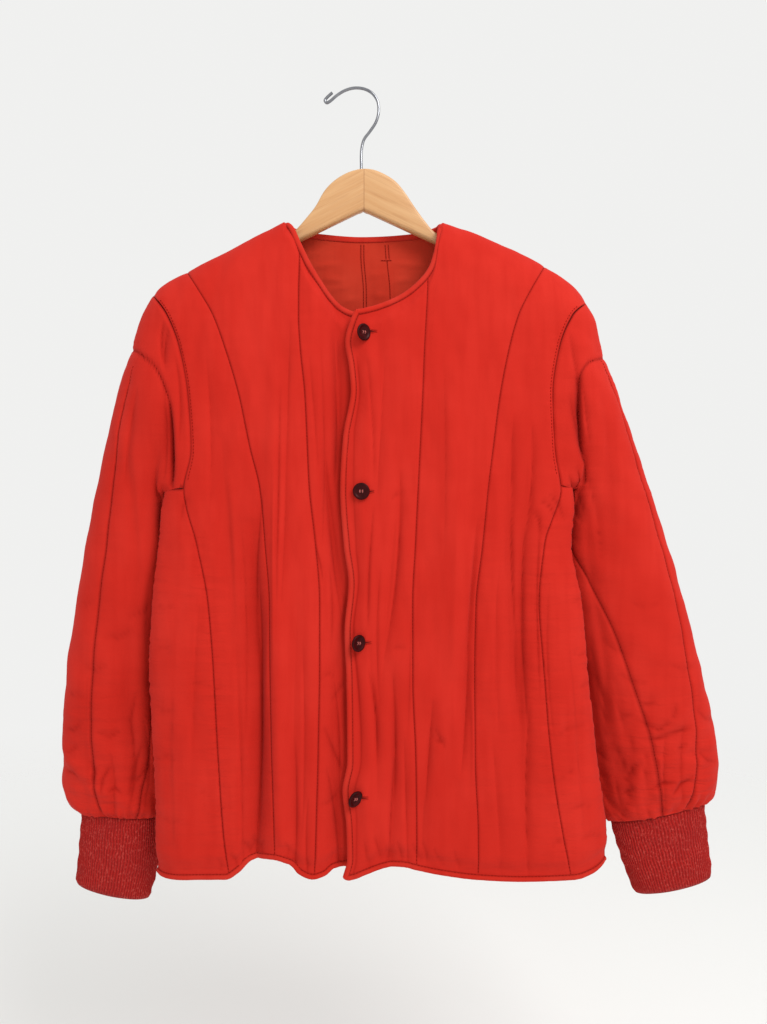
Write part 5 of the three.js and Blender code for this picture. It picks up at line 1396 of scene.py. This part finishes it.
# Hanger: two arms that meet over the neck, with softly rounded edges
def catmull(points, steps):
    points = np.asarray(points, float)
    points = np.concatenate([[2 * points[0] - points[1]], points, [2 * points[-1] - points[-2]]])
    knots = np.concatenate([[0], np.cumsum(np.sqrt(np.linalg.norm(np.diff(points, axis=0), axis=1)))])
    out = []
    for i in range(1, len(points) - 2):
        t0, t1, t2, t3 = knots[i - 1:i + 3]
        p0, p1, p2, p3 = points[i - 1:i + 3]
        for t in np.linspace(t1, t2, steps, endpoint=False):
            a1 = mix(p0, p1, (t - t0) / (t1 - t0))
            a2 = mix(p1, p2, (t - t1) / (t2 - t1))
            a3 = mix(p2, p3, (t - t2) / (t3 - t2))
            b1, b2 = mix(a1, a2, (t - t0) / (t2 - t0)), mix(a2, a3, (t - t1) / (t3 - t1))
            out.append(mix(b1, b2, (t - t1) / (t2 - t1)))
    out.append(points[-2])
    return np.array(out)


ARM_DROP = 2  # of the arms' top under the cloth's inner face
END_REACH, END_RADIUS, END_COLUMNS = 6, 12, 12  # of the rounded ends beyond the last point of the top
NOTCH = (4, 16)  # the small rise in the lower edge where the arms meet
WOOD_HALF_DEPTH, WOOD_BEVEL, WOOD_POINTS = 5.75, 4.6, 40
arm_tops = {}
for side in ("right", "left"):
    x, z = top_points(side, np.linspace(NECK_CORNER + 0.1, 2.5, 24), False)
    arm_tops[side] = np.stack([x, z - ARM_DROP], -1)
wood_top = np.concatenate([arm_tops["right"][::-1], catmull(WOOD_CROWN, 6), arm_tops["left"]])
(right_x, right_z), (left_x, left_z) = wood_top[0], wood_top[-1]
wood_low = np.array([
    (right_x - 5, right_z - 11), (right_x + 4, right_z - 15), (NOTCH[0], -136.5), (7, -135.6), (10, -134),
    (13, -135.6), (NOTCH[1], -136.5), (left_x - 4, left_z - 15), (left_x + 5, left_z - 11),
])
right_end, left_end = right_x - END_REACH, left_x + END_REACH
rounded = END_RADIUS * (1 - np.cos(np.linspace(0, math.pi / 2, END_COLUMNS)))[1:]
stations = np.concatenate([
    right_end + rounded, np.linspace(right_x + 7, NOTCH[0], 70)[:-1], np.linspace(*NOTCH, 13)[:-1],
    np.linspace(NOTCH[1], left_x - 7, 70), left_end - rounded[::-1],
])
high = np.interp(stations, wood_top[:, 0], wood_top[:, 1])
low = np.interp(stations, wood_low[:, 0], wood_low[:, 1])
rounding = round_over(np.minimum(stations - right_end, left_end - stations), 9.0)
middle_z, half_z = (high + low) / 2, (high - low) / 2 * np.maximum(rounding, 0.12)
half_y = WOOD_HALF_DEPTH * np.maximum(rounding ** 0.6, 0.2)
cos, sin = np.cos(turns_of(WOOD_POINTS)), np.sin(turns_of(WOOD_POINTS))
rings = []
for x, z, h, w in zip(stations, middle_z, half_z, half_y):
    bevel = min(WOOD_BEVEL, h * 0.9, w * 0.8)
    ring_y = np.sign(cos) * (w - bevel) + bevel * cos
    ring_z = z + np.sign(sin) * (h - bevel) + bevel * sin
    rings.append(np.stack([np.full_like(ring_y, x), ring_y, ring_z], -1))
wood = plain_object("wooden_hanger", np.concatenate(rings), tube_faces(len(rings), WOOD_POINTS), "wood")

HOOK_RADIUS = 1.6
hook_path = catmull([(x, 0, z) for x, z in HOOK_LINE], 7)
hook_parts = sweep(hook_path, facing(len(hook_path), 0, 1, 0), ellipse(HOOK_RADIUS, HOOK_RADIUS, 16))
hook = plain_object("wire_hook", *hook_parts, "steel")


# Buttons, their threads, and the buttonholes beside them
def lathe(profile, segments=32):
    points = [(r * math.cos(a), r * math.sin(a), h) for r, h in profile for a in turns_of(segments)]
    return np.array(points), tube_faces(len(profile), segments)


BUTTON_PROFILE = [
    (3.0, -1.5), (7.0, -1.5), (8.5, -0.9), (9.0, 0.1), (8.9, 0.9), (8.3, 1.45), (7.4, 1.5), (6.6, 1.15),
    (5.9, 0.65), (4.6, 0.5), (2.0, 0.5), (0.5, 0.5),
]
# Of each button: its way from the solid's middle, and its swing, tip and lean in degrees
BUTTON_SHIFTS = [(-2.0, -2.8, -2.2), (-1.5, -0.8, 0), (-1.2, -3.0, 0), (-1.0, -3.2, 0)]
BUTTON_TURNS = [(42, 4, -4), (-6, 0, 0), (44, -4, 8), (45, 4, 16)]
THREAD_REACH, THREAD_RADIUS, THREAD_RISE = 1.4, 0.42, 1.1


def placed(points, centre, swing, tip, lean):
    """Points drawn facing +Z, turned to face -Y, then tipped, swung and leaned."""
    points = points @ np.array([[1, 0, 0], [0, 0, 1], [0, -1, 0]], float)
    a, b, c = math.radians(swing), math.radians(tip), math.radians(lean)
    about_z = np.array([[math.cos(a), math.sin(a), 0], [-math.sin(a), math.cos(a), 0], [0, 0, 1]])
    about_x = np.array([[1, 0, 0], [0, math.cos(b), math.sin(b)], [0, -math.sin(b), math.cos(b)]])
    about_y = np.array([[math.cos(c), 0, -math.sin(c)], [0, 1, 0], [math.sin(c), 0, math.cos(c)]])
    return points @ about_x @ about_z @ about_y + centre


# Two pairs of threads, each an arc from low to high across the button
threads = []
for x in (-THREAD_REACH, THREAD_REACH):
    for shift in (-0.35, 0.35):
        arc = [(x + shift, mix(-THREAD_REACH, THREAD_REACH, t) + shift * 0.3,
                0.2 + THREAD_RISE * math.sin(math.pi * t)) for t in np.linspace(0, 1, 9)]
        threads.append(sweep(arc, facing(len(arc), 0, 0, 1), ellipse(THREAD_RADIUS, THREAD_RADIUS, 6)))
thread_points, thread_faces = joined(threads)
button_points, button_faces = lathe(BUTTON_PROFILE)
buttons = []
for number, (shift, turns) in enumerate(zip(BUTTON_SHIFTS, BUTTON_TURNS), 1):
    low_corner, high_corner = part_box(f"button_{number}")
    centre = np.array((low_corner + high_corner) / 2) / MM + shift
    button = plain_object(f"turned_button_{number}", placed(button_points, centre, *turns),
                          button_faces, "button")
    thread = plain_object(f"button_thread_{number}", placed(thread_points, centre, *turns),
                          thread_faces, "button_thread")
    buttons.append((button, thread))

# Buttonholes: a dark slit beside each button, painted shade in the opening, narrowing outwards, with whipped
# stitches round it
SLIT_POINTS, SLIT_START, SLIT_END, SLIT_HALF, SLIT_LENGTH = 12, 4, 12.4, 1.5, 8.5
WHIP_START, WHIP_END, WHIP_STEP = 6.5, 13, 1.1
over_front = sheets["front_left"]


def on_front(x, z, sunk):
    return x, outer_y(over_front, x, z) - sunk, z


slit_parts, whip_lines = [], []
for x, z in BUTTON_PLACES:
    at = np.linspace(SLIT_START, SLIT_END, SLIT_POINTS)
    half = SLIT_HALF * (12.5 - at) / SLIT_LENGTH
    edges = [on_front(x + step, z + way * reach, 0.25) for way in (1, -1) for step, reach in zip(at, half)]
    slit_parts.append((np.array(edges, float), [(k, k + 1, k + 1 + SLIT_POINTS, k + SLIT_POINTS)
                                                for k in range(SLIT_POINTS - 1)]))
    for step in np.arange(WHIP_START, WHIP_END, WHIP_STEP):
        for way in (1, -1):
            reach = SLIT_HALF * (WHIP_END - step) / SLIT_LENGTH
            ends = [on_front(x + step, z + way * reach, 0.2),
                    on_front(x + step + 0.7, z + way * (reach + 1.3), 0.2)]
            whip_lines.append((np.array(ends), facing(2, 0, -1, 0)))
slits = plain_object("buttonhole_slits", *joined(slit_parts), "shadow_cloth")
whips = stitch_object("buttonhole_stitches", whip_lines, length=0.9, gap=0.2, radius=0.3)

# Seams of the lining inside the back, seen through the neck: from x and z, to x and z
LINING_SEAMS = [
    (7.0, -166, 14.0, -300), (10.4, -166, 17.0, -300), (34.0, -166, 36.0, -182),
    (37.5, -166, 39.5, -182), (37.0, -184, 45.0, -300), (30, -183.5, 42, -183.5),
]
LINING_POINTS = 60


def lining_line(from_x, from_z, to_x, to_z):
    z = np.linspace(from_z, to_z, LINING_POINTS)
    x = np.linspace(from_x, to_x, LINING_POINTS) + 0.5 * np.sin(z / 9)
    y = np.where(x < CENTRE_BACK, panel_y("right", x, z, True), panel_y("left", x, z, True)) - 0.25
    return np.stack([x, y, z], -1)


inwards = facing(LINING_POINTS, 0, -1, 0)
lining_lines = [lining_line(*seam) for seam in LINING_SEAMS]
seam_parts = joined(sweep(line, inwards, ellipse(0.45, 0.28, 8)) for line in lining_lines)
lining_seams = plain_object("lining_seams", *seam_parts, "lining_seam")
raised = [(line + [0, -0.35, 0], inwards) for line in lining_lines]
lining_stitches = stitch_object("lining_stitches", raised, length=2.0, gap=1.0, radius=0.3)

# Floor, sky and one soft light
bpy.ops.mesh.primitive_circle_add(vertices=128, radius=3.2, fill_type="NGON", location=(0, 0, -1.32))
floor = bpy.context.active_object
floor.name = "floor"
floor.data.materials.append(materials["pale_floor"])

world = bpy.data.worlds.new("studio")
world.use_nodes = True
sky = world.node_tree.nodes["Background"]
sky.inputs["Color"].default_value = (0.95, 0.95, 0.94, 1)
sky.inputs["Strength"].default_value = 0.92
bpy.context.scene.world = world
bpy.context.scene.view_settings.view_transform = "Standard"

light = bpy.data.lights.new("key", "AREA")
light.shape = "SQUARE"
light.size = 1.2
light.energy = 38
lamp = bpy.data.objects.new("key", light)
lamp.location = (1.1, -1.5, 1.2)
aim = Vector((0.03, 0, -0.45))
lamp.rotation_euler = (aim - lamp.location).to_track_quat("-Z", "Y").to_euler()
bpy.context.scene.collection.objects.link(lamp)

# What each piece is, and the CAD solids that it stands for
pieces = [(thing, name, "rib_knit" if name.startswith("cuff") else "quilted_cotton")
          for name, thing in cloth.items()]
pieces += [(thing, name, "cotton_tape") for name, thing in tapes.items()]
pieces += [(thing, None, "cotton_tape")
           for thing in (*stitching.values(), slits, whips, lining_seams, lining_stitches)]
for number, (button, thread) in enumerate(buttons, 1):
    pieces += [(button, f"button_{number}", "button_plastic"), (thread, None, "cotton_tape")]
pieces += [(wood, "hanger_wood", "pale_wood"), (hook, "hanger_hook", "bright_steel")]
for thing, solid, slot in pieces:
    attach(thing, "root")
    if solid:
        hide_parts(solid)
